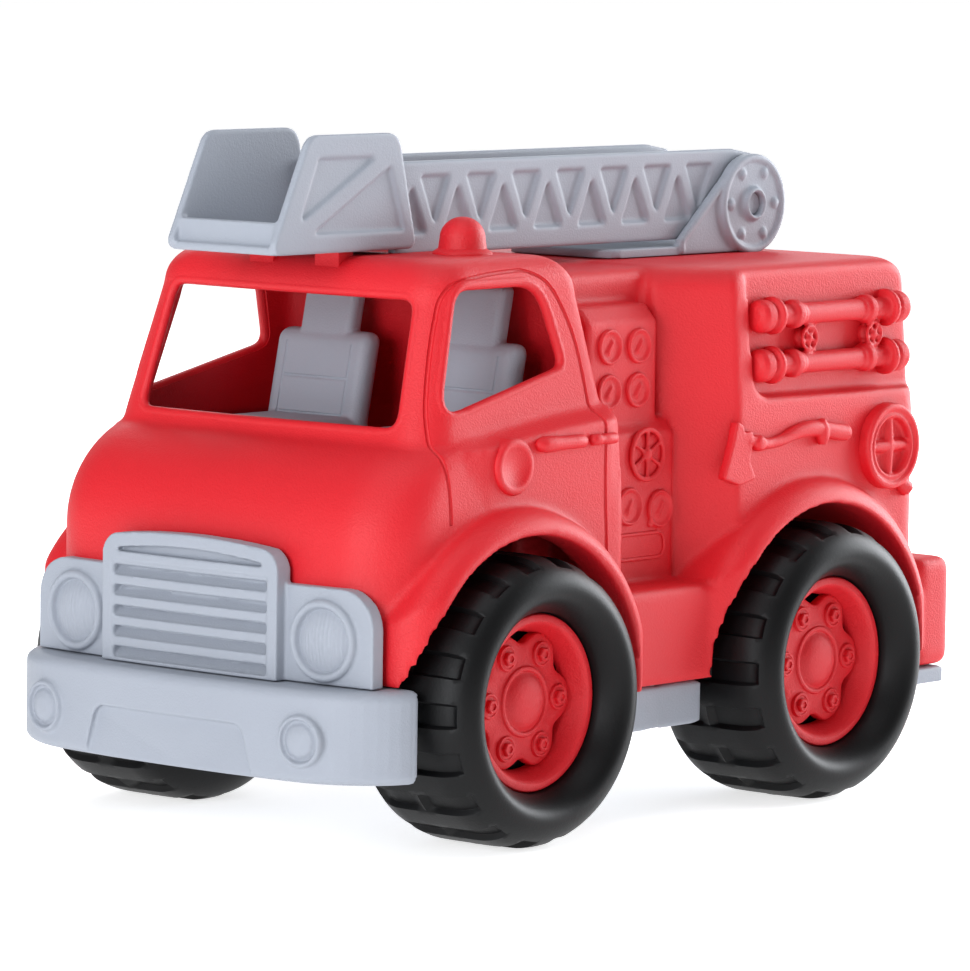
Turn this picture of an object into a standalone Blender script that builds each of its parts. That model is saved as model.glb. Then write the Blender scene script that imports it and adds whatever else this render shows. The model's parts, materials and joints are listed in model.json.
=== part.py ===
"""Toy fire engine: moulded red body, grey trim, turning wheels, swivelling lifting ladder.

Metres, +X forward, +Y to the vehicle's left, +Z up, standing on z = 0 with the
origin under the middle of its length.
"""
import math

import bmesh
import bpy
from mathutils import Matrix, Vector

MM = 0.001

# Overall and running gear
OVERALL_LENGTH = 267 * MM
WHEELBASE = 132 * MM
WHEELBASE_MIDDLE_X = -1.5 * MM
WHEEL_RADIUS = 41 * MM
RIM_RADIUS = 25 * MM
TYRE_WIDTH = 44 * MM
TYRE_OUTER_Y = 84.5 * MM
LUG_COUNT = 16
LUG_DEPTH = 1.6 * MM
RIM_FACE_Y = 76.5 * MM
RIM_INNER_Y = 43.5 * MM
RIM_LIP = 4 * MM
RIM_DISH_DEPTH = 7 * MM
HUB_RADIUS = 9 * MM
RIM_HOLE_RADIUS = 2.4 * MM
RIM_HOLE_CIRCLE = 17.4 * MM
RIM_HOLE_COUNT = 6
AXLE_RADIUS = 2.5 * MM
AXLE_GRIP = 22 * MM

# Fits
SEAT_GAP = 0.3 * MM
RUNNING_GAP = 0.4 * MM

# Body shell
BODY_WALL = 3 * MM
BODY_BOTTOM_Z = 39.3 * MM
BODY_FRONT_X = 118 * MM
FRONT_BOW = 3 * MM
CAB_REAR_X = 15 * MM
CAB_HALF_WIDTH = 67 * MM
SHOULDER_Z = 115 * MM
HOOD_ROUND_Z = 84 * MM
WINDSHIELD_FOOT_X = 96 * MM
GLASS_RAKE = 10.5 * MM
GREENHOUSE_HALF_WIDTH = 61 * MM
GREENHOUSE_LEAN = 5 * MM
ROOF_EDGE_Z = 152 * MM
ROOF_TOP_Z = 162 * MM
WINDSHIELD_LOW_Z = 119 * MM
WINDSHIELD_HIGH_Z = 152 * MM
WINDSHIELD_HALF_WIDTH = 48 * MM
WINDSHIELD_LEAN = 3 * MM
SIDE_WINDOW_LOW_Z = 123 * MM
SIDE_WINDOW_HIGH_Z = 154 * MM
SIDE_WINDOW_FRONT_X = 84.5 * MM
SIDE_WINDOW_REAR_X = 33.5 * MM
PUMP_HALF_WIDTH = 52 * MM
GAUGE_RADIUS = 5 * MM
GAUGE_HEIGHT = 1.2 * MM
HAND_WHEEL_RADIUS = 6.5 * MM
HAND_WHEEL_X = -2 * MM
HAND_WHEEL_Z = 105 * MM
GAUGE_FRONT_X = 6 * MM
GAUGE_PITCH = 12.5 * MM
GAUGE_TOP_Z = 136 * MM
GAUGE_LOW_Z = 89 * MM
BOX_FRONT_X = -17 * MM
BOX_REAR_X = -119 * MM
BOX_HALF_WIDTH = 66 * MM
BOX_TOP_Z = 157.5 * MM
BOX_FRONT_CORNER = 17 * MM
BOX_FLARE = 2.5 * MM
REEL_X = -105 * MM
REEL_Z = 102 * MM
REEL_RADIUS = 12.5 * MM
AXE_X = -33 * MM
AXE_Z = 106 * MM
AXE_LENGTH = 51 * MM
PIPE_RADIUS = 2.4 * MM
PIPE_CAP_RADIUS = 3.6 * MM
PIPE_HIGH_Z = 143 * MM
PIPE_LOW_Z = 129.5 * MM
RELIEF_HEIGHT = 1.6 * MM
BOX_WALL = 6 * MM
SIDE_PANEL_RECESS = 2 * MM
FENDER_RADIUS = 53.5 * MM
FENDER_OUTER_Y = 77 * MM
FENDER_EDGE = 8 * MM
FENDER_FRONT_CORNER = 22 * MM
FENDER_REAR_CORNER = 12 * MM
ARCH_RADIUS = 46.5 * MM
ARCH_INNER_Y = 39 * MM
STEP_TOP_Z = 67.5 * MM
STEP_HALF_WIDTH = 70 * MM
TAIL_TOP_Z = 67 * MM
TAIL_BOTTOM_Z = 34 * MM
TAIL_HALF_WIDTH = 72 * MM
TAIL_LENGTH = 16 * MM
REST_FRONT_X = 82.5 * MM
REST_LENGTH = 6 * MM
REST_SINK = 4.2 * MM
REST_Y = 12.5 * MM
REST_WIDTH = 9 * MM
BEACON_X = 46 * MM
BEACON_Y = 31 * MM
BEACON_RADIUS = 7 * MM
BEACON_HEIGHT = 11 * MM
BEACON_FLANGE = 1.3 * MM

# Front trim
BUMPER_DEPTH = 25 * MM
BUMPER_HALF_WIDTH = 74 * MM
BUMPER_LOW_Z = 22 * MM
BUMPER_HIGH_Z = 48 * MM
BUMPER_WALL = 3 * MM
BUMPER_BOW = 6 * MM
FOG_LAMP_Y = 49 * MM
FOG_LAMP_Z = 34 * MM
FOG_LAMP_RADIUS = 7.2 * MM
LAMP_PANEL_HALF_WIDTH = 64 * MM
LAMP_PANEL_TOP_Z = 75 * MM
LAMP_PANEL_THICKNESS = 3.5 * MM
GRILLE_HALF_WIDTH = 33.5 * MM
GRILLE_TOP_Z = 86 * MM
GRILLE_THICKNESS = 6.7 * MM
GRILLE_SLOT_COUNT = 5
GRILLE_SLOT_PITCH = 5.8 * MM
GRILLE_SLOT_HEIGHT = 2.7 * MM
GRILLE_SLOT_HALF_LENGTH = 29.5 * MM
GRILLE_SLOT_DEPTH = 1.6 * MM
HEADLAMP_Y = 47.5 * MM
HEADLAMP_Z = 60.5 * MM
HEADLAMP_RADIUS = 11.4 * MM

# Chassis and interior
CHASSIS_TOP_Z = 39 * MM
CHASSIS_LOW_Z = 26 * MM
CHASSIS_PLATE = 5 * MM
CHASSIS_KEEL_HALF_WIDTH = 37.5 * MM
CHASSIS_WAIST_HALF_WIDTH = 66 * MM
AXLE_RAIL_THICKNESS = 9 * MM
AXLE_RAIL_LENGTH = 16 * MM
AXLE_RAIL_TOP = 8 * MM
FLOOR_Z = 96 * MM
FLOOR_THICKNESS = 3 * MM
FLOOR_POST_X = 40 * MM
FLOOR_POST_Y = 14 * MM
FLOOR_POST_WIDTH = 12 * MM
SEAT_Y = 30 * MM
SEAT_HALF_WIDTH = 16 * MM
SEAT_BACK_X = 36 * MM
SEAT_BACK_THICKNESS = 8 * MM
SEAT_BACK_TOP_Z = 135 * MM
SEAT_CUSHION_LENGTH = 30 * MM
SEAT_CUSHION_HEIGHT = 14 * MM
HEADREST_HALF_WIDTH = 11 * MM
HEADREST_TOP_Z = 148 * MM
SCREW_RADIUS = 1.5 * MM
SCREW_HEAD_RADIUS = 3.2 * MM
SCREW_HEAD_HEIGHT = 2.2 * MM
SCREW_GRIP = 12 * MM

# Turntable, ladder and bucket
SWIVEL_X = -59 * MM
PLATE_THICKNESS = 2.6 * MM
PLATE_REACH = 48 * MM
PLATE_HALF_WIDTH = 24 * MM
STEM_RADIUS = 8 * MM
WASHER_RADIUS = 14 * MM
WASHER_THICKNESS = 2 * MM
LIFT_X = -97.5 * MM
LIFT_Z = 172 * MM
CHEEK_RADIUS = 15 * MM
CHEEK_THICKNESS = 3.6 * MM
CHEEK_WEB_REACH = 24 * MM
PIN_RADIUS = 3.2 * MM
LADDER_HALF_WIDTH = 18 * MM
LADDER_WALL = 3 * MM
LADDER_LOW_Z = 164 * MM
LADDER_HIGH_Z = 188.5 * MM
LADDER_FRONT_X = 60 * MM
LADDER_TAIL_RADIUS = 10.5 * MM
RUNG_COUNT = 11
RUNG_RADIUS = 1.8 * MM
RUNG_Z = 169 * MM
BRACE_COUNT = 7
BRACE_RAIL = 4 * MM
BRACE_RIB = 2.4 * MM
BRACE_DEPTH = 0.9 * MM
BUCKET_WALL = 2.4 * MM
BUCKET_REAR_X = 53.5 * MM
BUCKET_FRONT_X = 113 * MM
BUCKET_TOP_REAR_X = 61 * MM
BUCKET_TOP_FRONT_X = 98 * MM
BUCKET_TOP_Z = 197 * MM
BUCKET_LIP = 9 * MM

FRONT_AXLE_X = WHEELBASE_MIDDLE_X + WHEELBASE / 2
REAR_AXLE_X = WHEELBASE_MIDDLE_X - WHEELBASE / 2
FRONT_X = OVERALL_LENGTH / 2
TAIL_X = -OVERALL_LENGTH / 2
BOX_ROOF_CLEARANCE = SEAT_GAP
PLATE_LOW_Z = BOX_TOP_Z + BOX_ROOF_CLEARANCE
PLATE_TOP_Z = PLATE_LOW_Z + PLATE_THICKNESS
LEFT, RIGHT = 1, -1


def collection(name):
    """Give a new collection linked to the scene."""
    group = bpy.data.collections.new(name)
    bpy.context.scene.collection.children.link(group)
    return group


def clear_scene():
    for item in list(bpy.data.objects):
        bpy.data.objects.remove(item, do_unlink=True)


clear_scene()
PARTS = collection("toy_fire_engine")
CUTTERS = collection("cutters")


def plastic(name, colour, roughness, metallic=0.0):
    """One Principled material in a linear colour."""
    material = bpy.data.materials.new(name)
    material.use_nodes = True
    shader = material.node_tree.nodes["Principled BSDF"]
    shader.inputs["Base Color"].default_value = (*colour, 1)
    shader.inputs["Roughness"].default_value = roughness
    shader.inputs["Metallic"].default_value = metallic
    return material


RED = plastic("red_moulding", (0.76, 0.013, 0.018), 0.42)
GREY = plastic("grey_moulding", (0.47, 0.50, 0.56), 0.45)
BLACK = plastic("black_tyre", (0.012, 0.012, 0.013), 0.5)
STEEL = plastic("plated_steel", (0.6, 0.6, 0.6), 0.3, 1.0)


def add_object(name, bm, material=None):
    """Put a bmesh in the scene as a named part."""
    bmesh.ops.recalc_face_normals(bm, faces=bm.faces)
    mesh = bpy.data.meshes.new(name)
    bm.to_mesh(mesh)
    bm.free()
    part = bpy.data.objects.new(name, mesh)
    PARTS.objects.link(part)
    if material:
        mesh.materials.append(material)
    return part


def combine(part, tool, operation):
    """Join a tool to a part, or cut it away.

    The body shell is many rounded forms that graze one another, and the ladder's braces run close
    together. The exact solver loses faces on both, so their steps use the manifold one.
    """
    step = part.modifiers.new(tool.name, "BOOLEAN")
    step.operation = operation
    step.solver = "MANIFOLD" if part.name in ("body_shell", "ladder") else "EXACT"
    step.object = tool
    PARTS.objects.unlink(tool)
    CUTTERS.objects.link(tool)
    tool.hide_render = True
    tool.display_type = "WIRE"


def join(part, *tools):
    for tool in tools:
        combine(part, tool, "UNION")


def cut(part, *tools):
    for tool in tools:
        combine(part, tool, "DIFFERENCE")


def finish_round(part, angle=40):
    part.data.shade_smooth()
    part.data.set_sharp_from_angle(angle=math.radians(angle))
    return part


def box(name, low, high, material=None, bevel=0, segments=2):
    """A block between two corners, with its edges rounded by a Bevel."""
    bm = bmesh.new()
    bmesh.ops.create_cube(bm, size=1)
    low = Vector(low)
    size = Vector(high) - low
    for vertex in bm.verts:
        vertex.co = low + Vector((s * (c + 0.5) for s, c in zip(size, vertex.co)))
    part = add_object(name, bm, material)
    if bevel:
        rounding = part.modifiers.new("rounded_edges", "BEVEL")
        rounding.width = bevel
        rounding.segments = segments
    return part


def outline(rear, front, half, rear_round, front_round, front_bow=0, rear_bow=0, steps=3, bow_steps=4):
    """A rounded rectangle seen from above, its front and rear bowed back at the sides."""
    corners = (
        (front - front_round, half - front_round, front_round, 0),
        (rear + rear_round, half - rear_round, rear_round, 90),
        (rear + rear_round, rear_round - half, rear_round, 180),
        (front - front_round, front_round - half, front_round, 270),
    )
    points = []
    for x, y, radius, start in corners:
        for step in range(steps + 1):
            turn = math.radians(start + 90 * step / steps)
            points.append((x + radius * math.cos(turn), y + radius * math.sin(turn)))
        if rear_bow and start == 90:
            points += [(rear, y * (1 - 2 * i / bow_steps)) for i in range(1, bow_steps)]
        if front_bow and start == 270:
            points += [(front, y * (1 - 2 * i / bow_steps)) for i in range(1, bow_steps)]
    bowed = []
    for x, y in points:
        share = (x - rear) / (front - rear)
        bow = front_bow * share + rear_bow * (1 - share)
        bowed.append((x - bow * (y / half) ** 2, y))
    return bowed


def loft(name, sections, material=None):
    """A closed skin through level outlines, given as (z, points) from the bottom up."""
    bm = bmesh.new()
    rings = []
    for z, points in sections:
        rings.append([bm.verts.new((x, y, z)) for x, y in points])
    for lower, upper in zip(rings, rings[1:]):
        for i in range(len(lower)):
            k = (i + 1) % len(lower)
            bm.faces.new((lower[i], lower[k], upper[k], upper[i]))
    bm.faces.new(rings[0][::-1])
    bm.faces.new(rings[-1])
    return finish_round(add_object(name, bm, material))


def plate_outline(name, points, across, near, far, material=None):
    """A flat outline in the XZ plane, extruded along Y (or in YZ, along X)."""
    bm = bmesh.new()
    if across == "Y":
        ring = [bm.verts.new((a, near, b)) for a, b in points]
        push = Vector((0, far - near, 0))
    else:
        ring = [bm.verts.new((near, a, b)) for a, b in points]
        push = Vector((far - near, 0, 0))
    face = bm.faces.new(ring)
    grown = bmesh.ops.extrude_face_region(bm, geom=[face])
    moved = [item for item in grown["geom"] if isinstance(item, bmesh.types.BMVert)]
    bmesh.ops.translate(bm, verts=moved, vec=push)
    return add_object(name, bm, material)


def arc(x, z, radius, start, end, steps):
    """Points of a circular arc, in degrees."""
    turns = (math.radians(start + (end - start) * i / steps) for i in range(steps + 1))
    return [(x + radius * math.cos(turn), z + radius * math.sin(turn)) for turn in turns]


def rod(name, radius, start, end, material=None, sides=16):
    """A round bar between two points."""
    start = Vector(start)
    run = Vector(end) - start
    bm = bmesh.new()
    bmesh.ops.create_cone(bm, cap_ends=True, segments=sides, radius1=radius, radius2=radius,
                          depth=run.length)
    turn = run.to_track_quat("Z", "Y").to_matrix().to_4x4()
    bmesh.ops.transform(bm, matrix=Matrix.Translation(start + run / 2) @ turn, verts=bm.verts)
    return finish_round(add_object(name, bm, material))


def turned(name, profile, place, steps, material=None):
    """A profile of (radius, height) points spun by a Screw modifier, then placed."""
    mesh = bpy.data.meshes.new(name)
    edges = [(i, i + 1) for i in range(len(profile) - 1)]
    if profile[0][0] > 0:
        edges.append((len(profile) - 1, 0))
    mesh.from_pydata([(r, 0, h) for r, h in profile], edges, [])
    blank = bpy.data.objects.new(name, mesh)
    PARTS.objects.link(blank)
    spin = blank.modifiers.new("turned", "SCREW")
    spin.steps = steps
    spin.render_steps = steps
    spin.use_merge_vertices = True
    spin.merge_threshold = 0.00001
    bpy.context.view_layer.update()
    solid = bpy.data.meshes.new_from_object(blank.evaluated_get(bpy.context.evaluated_depsgraph_get()))
    bpy.data.objects.remove(blank)
    bm = bmesh.new()
    bm.from_mesh(solid)
    bmesh.ops.remove_doubles(bm, verts=bm.verts, dist=0.00001)
    bmesh.ops.transform(bm, matrix=place, verts=bm.verts)
    bpy.data.meshes.remove(solid)
    return finish_round(add_object(name, bm, material))


def joint_empty(name, place):
    """An empty on a joint's axis, which carries the pieces that move."""
    empty = bpy.data.objects.new(name, None)
    empty.location = place
    PARTS.objects.link(empty)
    return empty


def carry(empty, *pieces):
    bpy.context.view_layer.update()
    for piece in pieces:
        piece.parent = empty
        piece.matrix_parent_inverse = empty.matrix_world.inverted()


def crowned(z, radius, rear, front, half, steps=3):
    """Levels that round the top edge of a loft: (z, rear, front, half)."""
    levels = []
    for step in range(steps + 1):
        turn = math.radians(90 * step / steps)
        inset = radius * (1 - math.cos(turn))
        levels.append((z - radius + radius * math.sin(turn), rear + inset, front - inset, half - inset))
    return levels


def cab_lower(name, wall):
    """Hood and doors: upright flanks, then a round shoulder that the hood falls from."""
    levels = []
    top = SHOULDER_Z - wall
    fall = BODY_FRONT_X - WINDSHIELD_FOOT_X + GLASS_RAKE
    for z in (BODY_BOTTOM_Z if not wall else 0, HOOD_ROUND_Z - wall):
        levels.append((z, BODY_FRONT_X - wall, CAB_HALF_WIDTH - wall))
    steps = 5
    for step in range(1, steps + 1):
        turn = math.radians(90 * step / steps)
        z = HOOD_ROUND_Z - wall + (top - HOOD_ROUND_Z + wall) * math.sin(turn)
        front = BODY_FRONT_X - wall - fall * (1 - math.cos(turn))
        half = CAB_HALF_WIDTH - wall - (CAB_HALF_WIDTH - GREENHOUSE_HALF_WIDTH) * (1 - math.cos(turn))
        levels.append((z, front, half))
    rear = CAB_REAR_X + wall
    return loft(name, [(z, outline(rear, x, half, 4 * MM, 18 * MM, FRONT_BOW, steps=2 if wall else 3))
                       for z, x, half in levels])


def greenhouse(name, wall):
    """Cab above the shoulder: raked windshield, leaning sides and a crowned roof."""
    foot = SHOULDER_Z - 20 * MM
    rise = ROOF_EDGE_Z - SHOULDER_Z
    drop = (SHOULDER_Z - foot) / rise
    levels = [(foot, CAB_REAR_X - 6 * MM * drop, WINDSHIELD_FOOT_X + GLASS_RAKE * drop,
               GREENHOUSE_HALF_WIDTH)]
    levels.append((SHOULDER_Z, CAB_REAR_X, WINDSHIELD_FOOT_X, GREENHOUSE_HALF_WIDTH))
    crown = ROOF_TOP_Z - ROOF_EDGE_Z
    for step in range(5):
        turn = math.radians(90 * step / 4)
        inset = 12 * MM * (1 - math.cos(turn))
        levels.append((ROOF_EDGE_Z + crown * math.sin(turn), CAB_REAR_X + 8 * MM + inset,
                       WINDSHIELD_FOOT_X - GLASS_RAKE - inset,
                       GREENHOUSE_HALF_WIDTH - GREENHOUSE_LEAN - inset))
    sections = []
    for z, rear, front, half in levels:
        shape = outline(rear + wall, front - wall, half - wall, 5 * MM, 13 * MM, 3 * MM, steps=2 if wall else 3)
        sections.append((z - wall if z > SHOULDER_Z else z, shape))
    return loft(name, sections)


def rear_box(name, wall):
    """Equipment box with slanted front corners and a rounded roof edge."""
    flare = BOX_FLARE
    levels = [(BODY_BOTTOM_Z if not wall else 0, BOX_REAR_X - flare, BOX_FRONT_X, BOX_HALF_WIDTH + flare)]
    levels.append((BOX_TOP_Z - 45 * MM, BOX_REAR_X - flare, BOX_FRONT_X, BOX_HALF_WIDTH + flare))
    levels += crowned(BOX_TOP_Z, 6 * MM, BOX_REAR_X, BOX_FRONT_X, BOX_HALF_WIDTH)
    sections = []
    for z, rear, front, half in levels:
        shape = outline(rear + wall, front - wall, half - wall, 8 * MM, BOX_FRONT_CORNER, steps=2 if wall else 3)
        sections.append((z - wall if z > STEP_TOP_Z else z, shape))
    return loft(name, sections)


def pump_section(name, wall):
    """Narrow waist between cab and box, which carries the pump panel."""
    rear = BOX_FRONT_X - 12 * MM
    front = CAB_REAR_X + 22 * MM
    bottom = BODY_BOTTOM_Z if not wall else 0
    levels = [(bottom, rear, front, PUMP_HALF_WIDTH)]
    levels += crowned(BOX_TOP_Z - 0.5 * MM, 4 * MM, rear, front, PUMP_HALF_WIDTH)
    sections = []
    for z, back, fore, half in levels:
        shape = outline(back, fore, half - wall, 3 * MM, 3 * MM, steps=1)
        sections.append((z - wall if z > STEP_TOP_Z else z, shape))
    return loft(name, sections)


def fender(name, axle_x):
    """Half-round mudguards over one axle: a barrel turned about the axle, trimmed in plan."""
    half = FENDER_OUTER_Y
    edge = FENDER_EDGE
    profile = [(0, half), (FENDER_RADIUS - edge, half)]
    for turn in (30, 60, 90):
        turn = math.radians(turn)
        profile.append((FENDER_RADIUS - edge * (1 - math.sin(turn)), half - edge * (1 - math.cos(turn))))
    profile += [(radius, -height) for radius, height in reversed(profile)]
    barrel = turned(name, profile, wheel_place(axle_x, LEFT), 32)
    nose = min(axle_x + FENDER_RADIUS, BODY_FRONT_X - FRONT_BOW - 4 * MM)
    plan = outline(axle_x - FENDER_RADIUS, nose, half, FENDER_REAR_CORNER, FENDER_FRONT_CORNER)
    combine(barrel, loft(f"{name}_plan", [(BODY_BOTTOM_Z, plan), (BOX_TOP_Z, plan)]), "INTERSECT")
    return barrel


def make_body_shell():
    """One red moulding: cab with its ladder rests, pump waist, equipment box, mudguards, steps and tail."""
    shell = cab_lower("body_shell", 0)
    shell.data.materials.append(RED)
    join(shell, greenhouse("cab_top", 0), pump_section("pump_waist", 0), rear_box("equipment_box", 0))
    for side in (LEFT, RIGHT):
        edges = sorted((0, side * STEP_HALF_WIDTH))
        step = box(f"step_{side}", (REAR_AXLE_X + ARCH_RADIUS / 2, edges[0], BODY_BOTTOM_Z),
                   (FRONT_AXLE_X - ARCH_RADIUS / 2, edges[1], STEP_TOP_Z), bevel=2 * MM)
        join(shell, step)
    join(shell, fender("front_fenders", FRONT_AXLE_X), fender("rear_fenders", REAR_AXLE_X))
    tail = box("tail_step", (TAIL_X, -TAIL_HALF_WIDTH, TAIL_BOTTOM_Z),
               (TAIL_X + TAIL_LENGTH, TAIL_HALF_WIDTH, TAIL_TOP_Z), bevel=3 * MM)
    join(shell, tail)
    rest_low = ROOF_TOP_Z - REST_SINK
    for side in (LEFT, RIGHT):
        y = side * REST_Y
        rest = box(f"ladder_rest_{side}", (REST_FRONT_X - REST_LENGTH, y - REST_WIDTH / 2, rest_low),
                   (REST_FRONT_X, y + REST_WIDTH / 2, LADDER_LOW_Z - SEAT_GAP))
        join(shell, rest)
    nose_trim = box("nose_trim", (BODY_FRONT_X - FRONT_BOW - 2 * MM, -1, 0), (1, 1, HEADLAMP_Z))
    bumper_room = box("bumper_room", (FRONT_X - BUMPER_DEPTH - SEAT_GAP, -1, 0), (1, 1, BUMPER_HIGH_Z + SEAT_GAP))
    cut(shell, nose_trim, bumper_room)
    for side in (LEFT, RIGHT):
        for label, axle_x in (("front", FRONT_AXLE_X), ("rear", REAR_AXLE_X)):
            arch = rod(f"{label}_arch_{side}", ARCH_RADIUS, (axle_x, side * ARCH_INNER_Y, WHEEL_RADIUS),
                       (axle_x, side * (FENDER_OUTER_Y + 20 * MM), WHEEL_RADIUS), sides=34)
            cut(shell, arch)
    cut(shell, cab_lower("cab_inside", BODY_WALL), greenhouse("cab_top_inside", BODY_WALL))
    cut(shell, rear_box("box_inside", BOX_WALL), pump_section("pump_inside", BODY_WALL))
    cut_windows(shell)
    add_side_relief(shell)
    roof_hole = rod("swivel_hole", STEM_RADIUS + RUNNING_GAP, (SWIVEL_X, 0, BOX_TOP_Z - 2 * BOX_WALL),
                    (SWIVEL_X, 0, BOX_TOP_Z + BOX_WALL))
    cut(shell, roof_hole)
    return shell


def cut_windows(shell):
    """Open windshield and side windows, with no glass in them."""
    corner = 6 * MM
    foot = WINDSHIELD_HALF_WIDTH
    head = foot - WINDSHIELD_LEAN
    points = []
    for y, z, start in ((head, WINDSHIELD_HIGH_Z, 0), (-head, WINDSHIELD_HIGH_Z, 90),
                        (-foot, WINDSHIELD_LOW_Z, 180), (foot, WINDSHIELD_LOW_Z, 270)):
        in_y = y - math.copysign(corner, y)
        in_z = z - corner if start < 180 else z + corner
        points += arc(in_y, in_z, corner, start, start + 90, 4)
    cut(shell, plate_outline("windshield", points, "X", WINDSHIELD_FOOT_X - 32 * MM,
                             WINDSHIELD_FOOT_X + 20 * MM))
    lean = SIDE_WINDOW_FRONT_X - 5 * MM
    sill_rise = 8 * MM
    pillar = SIDE_WINDOW_REAR_X + 14 * MM
    points = arc(lean - corner, SIDE_WINDOW_HIGH_Z - corner, corner, 0, 90, 4)
    points += arc(pillar + corner, SIDE_WINDOW_HIGH_Z - corner, corner, 90, 150, 3)
    points += arc(SIDE_WINDOW_REAR_X + 3 * MM, SIDE_WINDOW_LOW_Z + sill_rise + 3 * MM, 3 * MM, 150, 280, 4)
    points += arc(SIDE_WINDOW_FRONT_X - corner, SIDE_WINDOW_LOW_Z + corner, corner, 280, 350, 3)
    for side in (LEFT, RIGHT):
        cut(shell, plate_outline(f"side_window_{side}", points, "Y", side * WINDSHIELD_HALF_WIDTH,
                                 side * (CAB_HALF_WIDTH + 10 * MM)))


def stud(name, x, z, radius, wall, proud, sides=8):
    """A round boss on a side wall, sunk into it so that it joins."""
    return rod(name, radius, (x, wall - math.copysign(1.5 * MM, wall), z),
               (x, wall + math.copysign(proud, wall), z), sides=sides)


def slab(name, x0, x1, z0, z1, wall, proud):
    """A raised rectangle on a side wall."""
    edges = sorted((wall - math.copysign(1.5 * MM, wall), wall + math.copysign(proud, wall)))
    return box(name, (x0, edges[0], z0), (x1, edges[1], z1))


def add_side_relief(shell):
    """Raised fittings on both sides: suction pipes, hose reel, axe and pump panel."""
    low = BOX_TOP_Z - 38 * MM
    high = BOX_TOP_Z - 6.5 * MM
    front = BOX_FRONT_X - 27 * MM
    rear = BOX_REAR_X + 3 * MM
    middle_z = (PIPE_LOW_Z + PIPE_HIGH_Z) / 2
    for side in (LEFT, RIGHT):
        panel = side * (BOX_HALF_WIDTH - SIDE_PANEL_RECESS)
        edges = sorted((panel, side * (BOX_HALF_WIDTH + 10 * MM)))
        cut(shell, box(f"side_panel_{side}", (BOX_REAR_X - 20 * MM, edges[0], low), (front, edges[1], high)))
        for label, z in (("high", PIPE_HIGH_Z), ("low", PIPE_LOW_Z)):
            tag = f"{label}_pipe_{side}"
            join(shell, rod(tag, PIPE_RADIUS, (rear + 3 * MM, panel, z), (front - 2 * MM, panel, z), sides=10))
            for end, x in (("rear", rear + 2 * MM), ("front", front - 7 * MM)):
                join(shell, rod(f"{tag}_{end}_cap", PIPE_CAP_RADIUS, (x, panel, z), (x + 6 * MM, panel, z),
                                sides=10))
        for x in (front - 22 * MM, rear + 18 * MM):
            join(shell, stud(f"pipe_valve_{side}_{round(x / MM)}", x, middle_z, 3.2 * MM, panel, RELIEF_HEIGHT))
        skin = side * (BOX_HALF_WIDTH + BOX_FLARE)
        reel = stud(f"reel_{side}", REEL_X, REEL_Z, REEL_RADIUS, skin, RELIEF_HEIGHT, 14)
        well = stud(f"reel_well_{side}", REEL_X, REEL_Z, REEL_RADIUS - 3 * MM, skin + side * 2 * MM, 5 * MM, 14)
        cut(reel, well)
        join(shell, reel)
        arm = REEL_RADIUS - 4 * MM
        join(shell, slab(f"reel_bar_{side}", REEL_X - arm, REEL_X + arm, REEL_Z - MM, REEL_Z + MM, skin, MM))
        join(shell, slab(f"reel_post_{side}", REEL_X - MM, REEL_X + MM, REEL_Z - arm, REEL_Z + arm, skin, MM))
        join(shell, slab(f"axe_handle_{side}", AXE_X - AXE_LENGTH, AXE_X, AXE_Z, AXE_Z + 3 * MM, skin, MM))
        blade = [(AXE_X + 7 * MM, AXE_Z - 8 * MM), (AXE_X + 4 * MM, AXE_Z + 7 * MM),
                 (AXE_X - 4 * MM, AXE_Z + 5 * MM), (AXE_X - 4 * MM, AXE_Z - 2 * MM)]
        join(shell, plate_outline(f"axe_head_{side}", blade, "Y", skin - side * 1.5 * MM,
                                  skin + side * RELIEF_HEIGHT))
        add_pump_panel(shell, side)


def add_pump_panel(shell, side):
    """Gauges and a hand wheel on the narrow pump section."""
    wall = side * PUMP_HALF_WIDTH
    rows = (GAUGE_TOP_Z, GAUGE_TOP_Z - GAUGE_PITCH, GAUGE_LOW_Z)
    for row, z in enumerate(rows):
        for column in range(2):
            x = GAUGE_FRONT_X - column * GAUGE_PITCH
            join(shell, stud(f"gauge_{side}_{row}_{column}", x, z, GAUGE_RADIUS, wall, GAUGE_HEIGHT))
    join(shell, stud(f"hand_wheel_{side}", HAND_WHEEL_X, HAND_WHEEL_Z, HAND_WHEEL_RADIUS, wall, RELIEF_HEIGHT))


def make_beacon(side):
    """Flared base ring with a domed lens, standing on the cab roof."""
    name = "roof_beacon_left" if side == LEFT else "roof_beacon_right"
    radius = BEACON_RADIUS
    foot = BEACON_FLANGE + 0.8 * MM
    dome = BEACON_HEIGHT - foot
    profile = [(0, BEACON_HEIGHT)]
    for step in range(1, 6):
        turn = math.radians(90 - 90 * step / 5)
        profile.append((radius * math.cos(turn), foot + dome * math.sin(turn)))
    profile += [(radius + 1.6 * MM, BEACON_FLANGE), (radius + 1.6 * MM, 0), (0, 0)]
    place = Matrix.Translation((BEACON_X, side * BEACON_Y, ROOF_TOP_Z + SEAT_GAP))
    return turned(name, profile, place, 12, RED)


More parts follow.
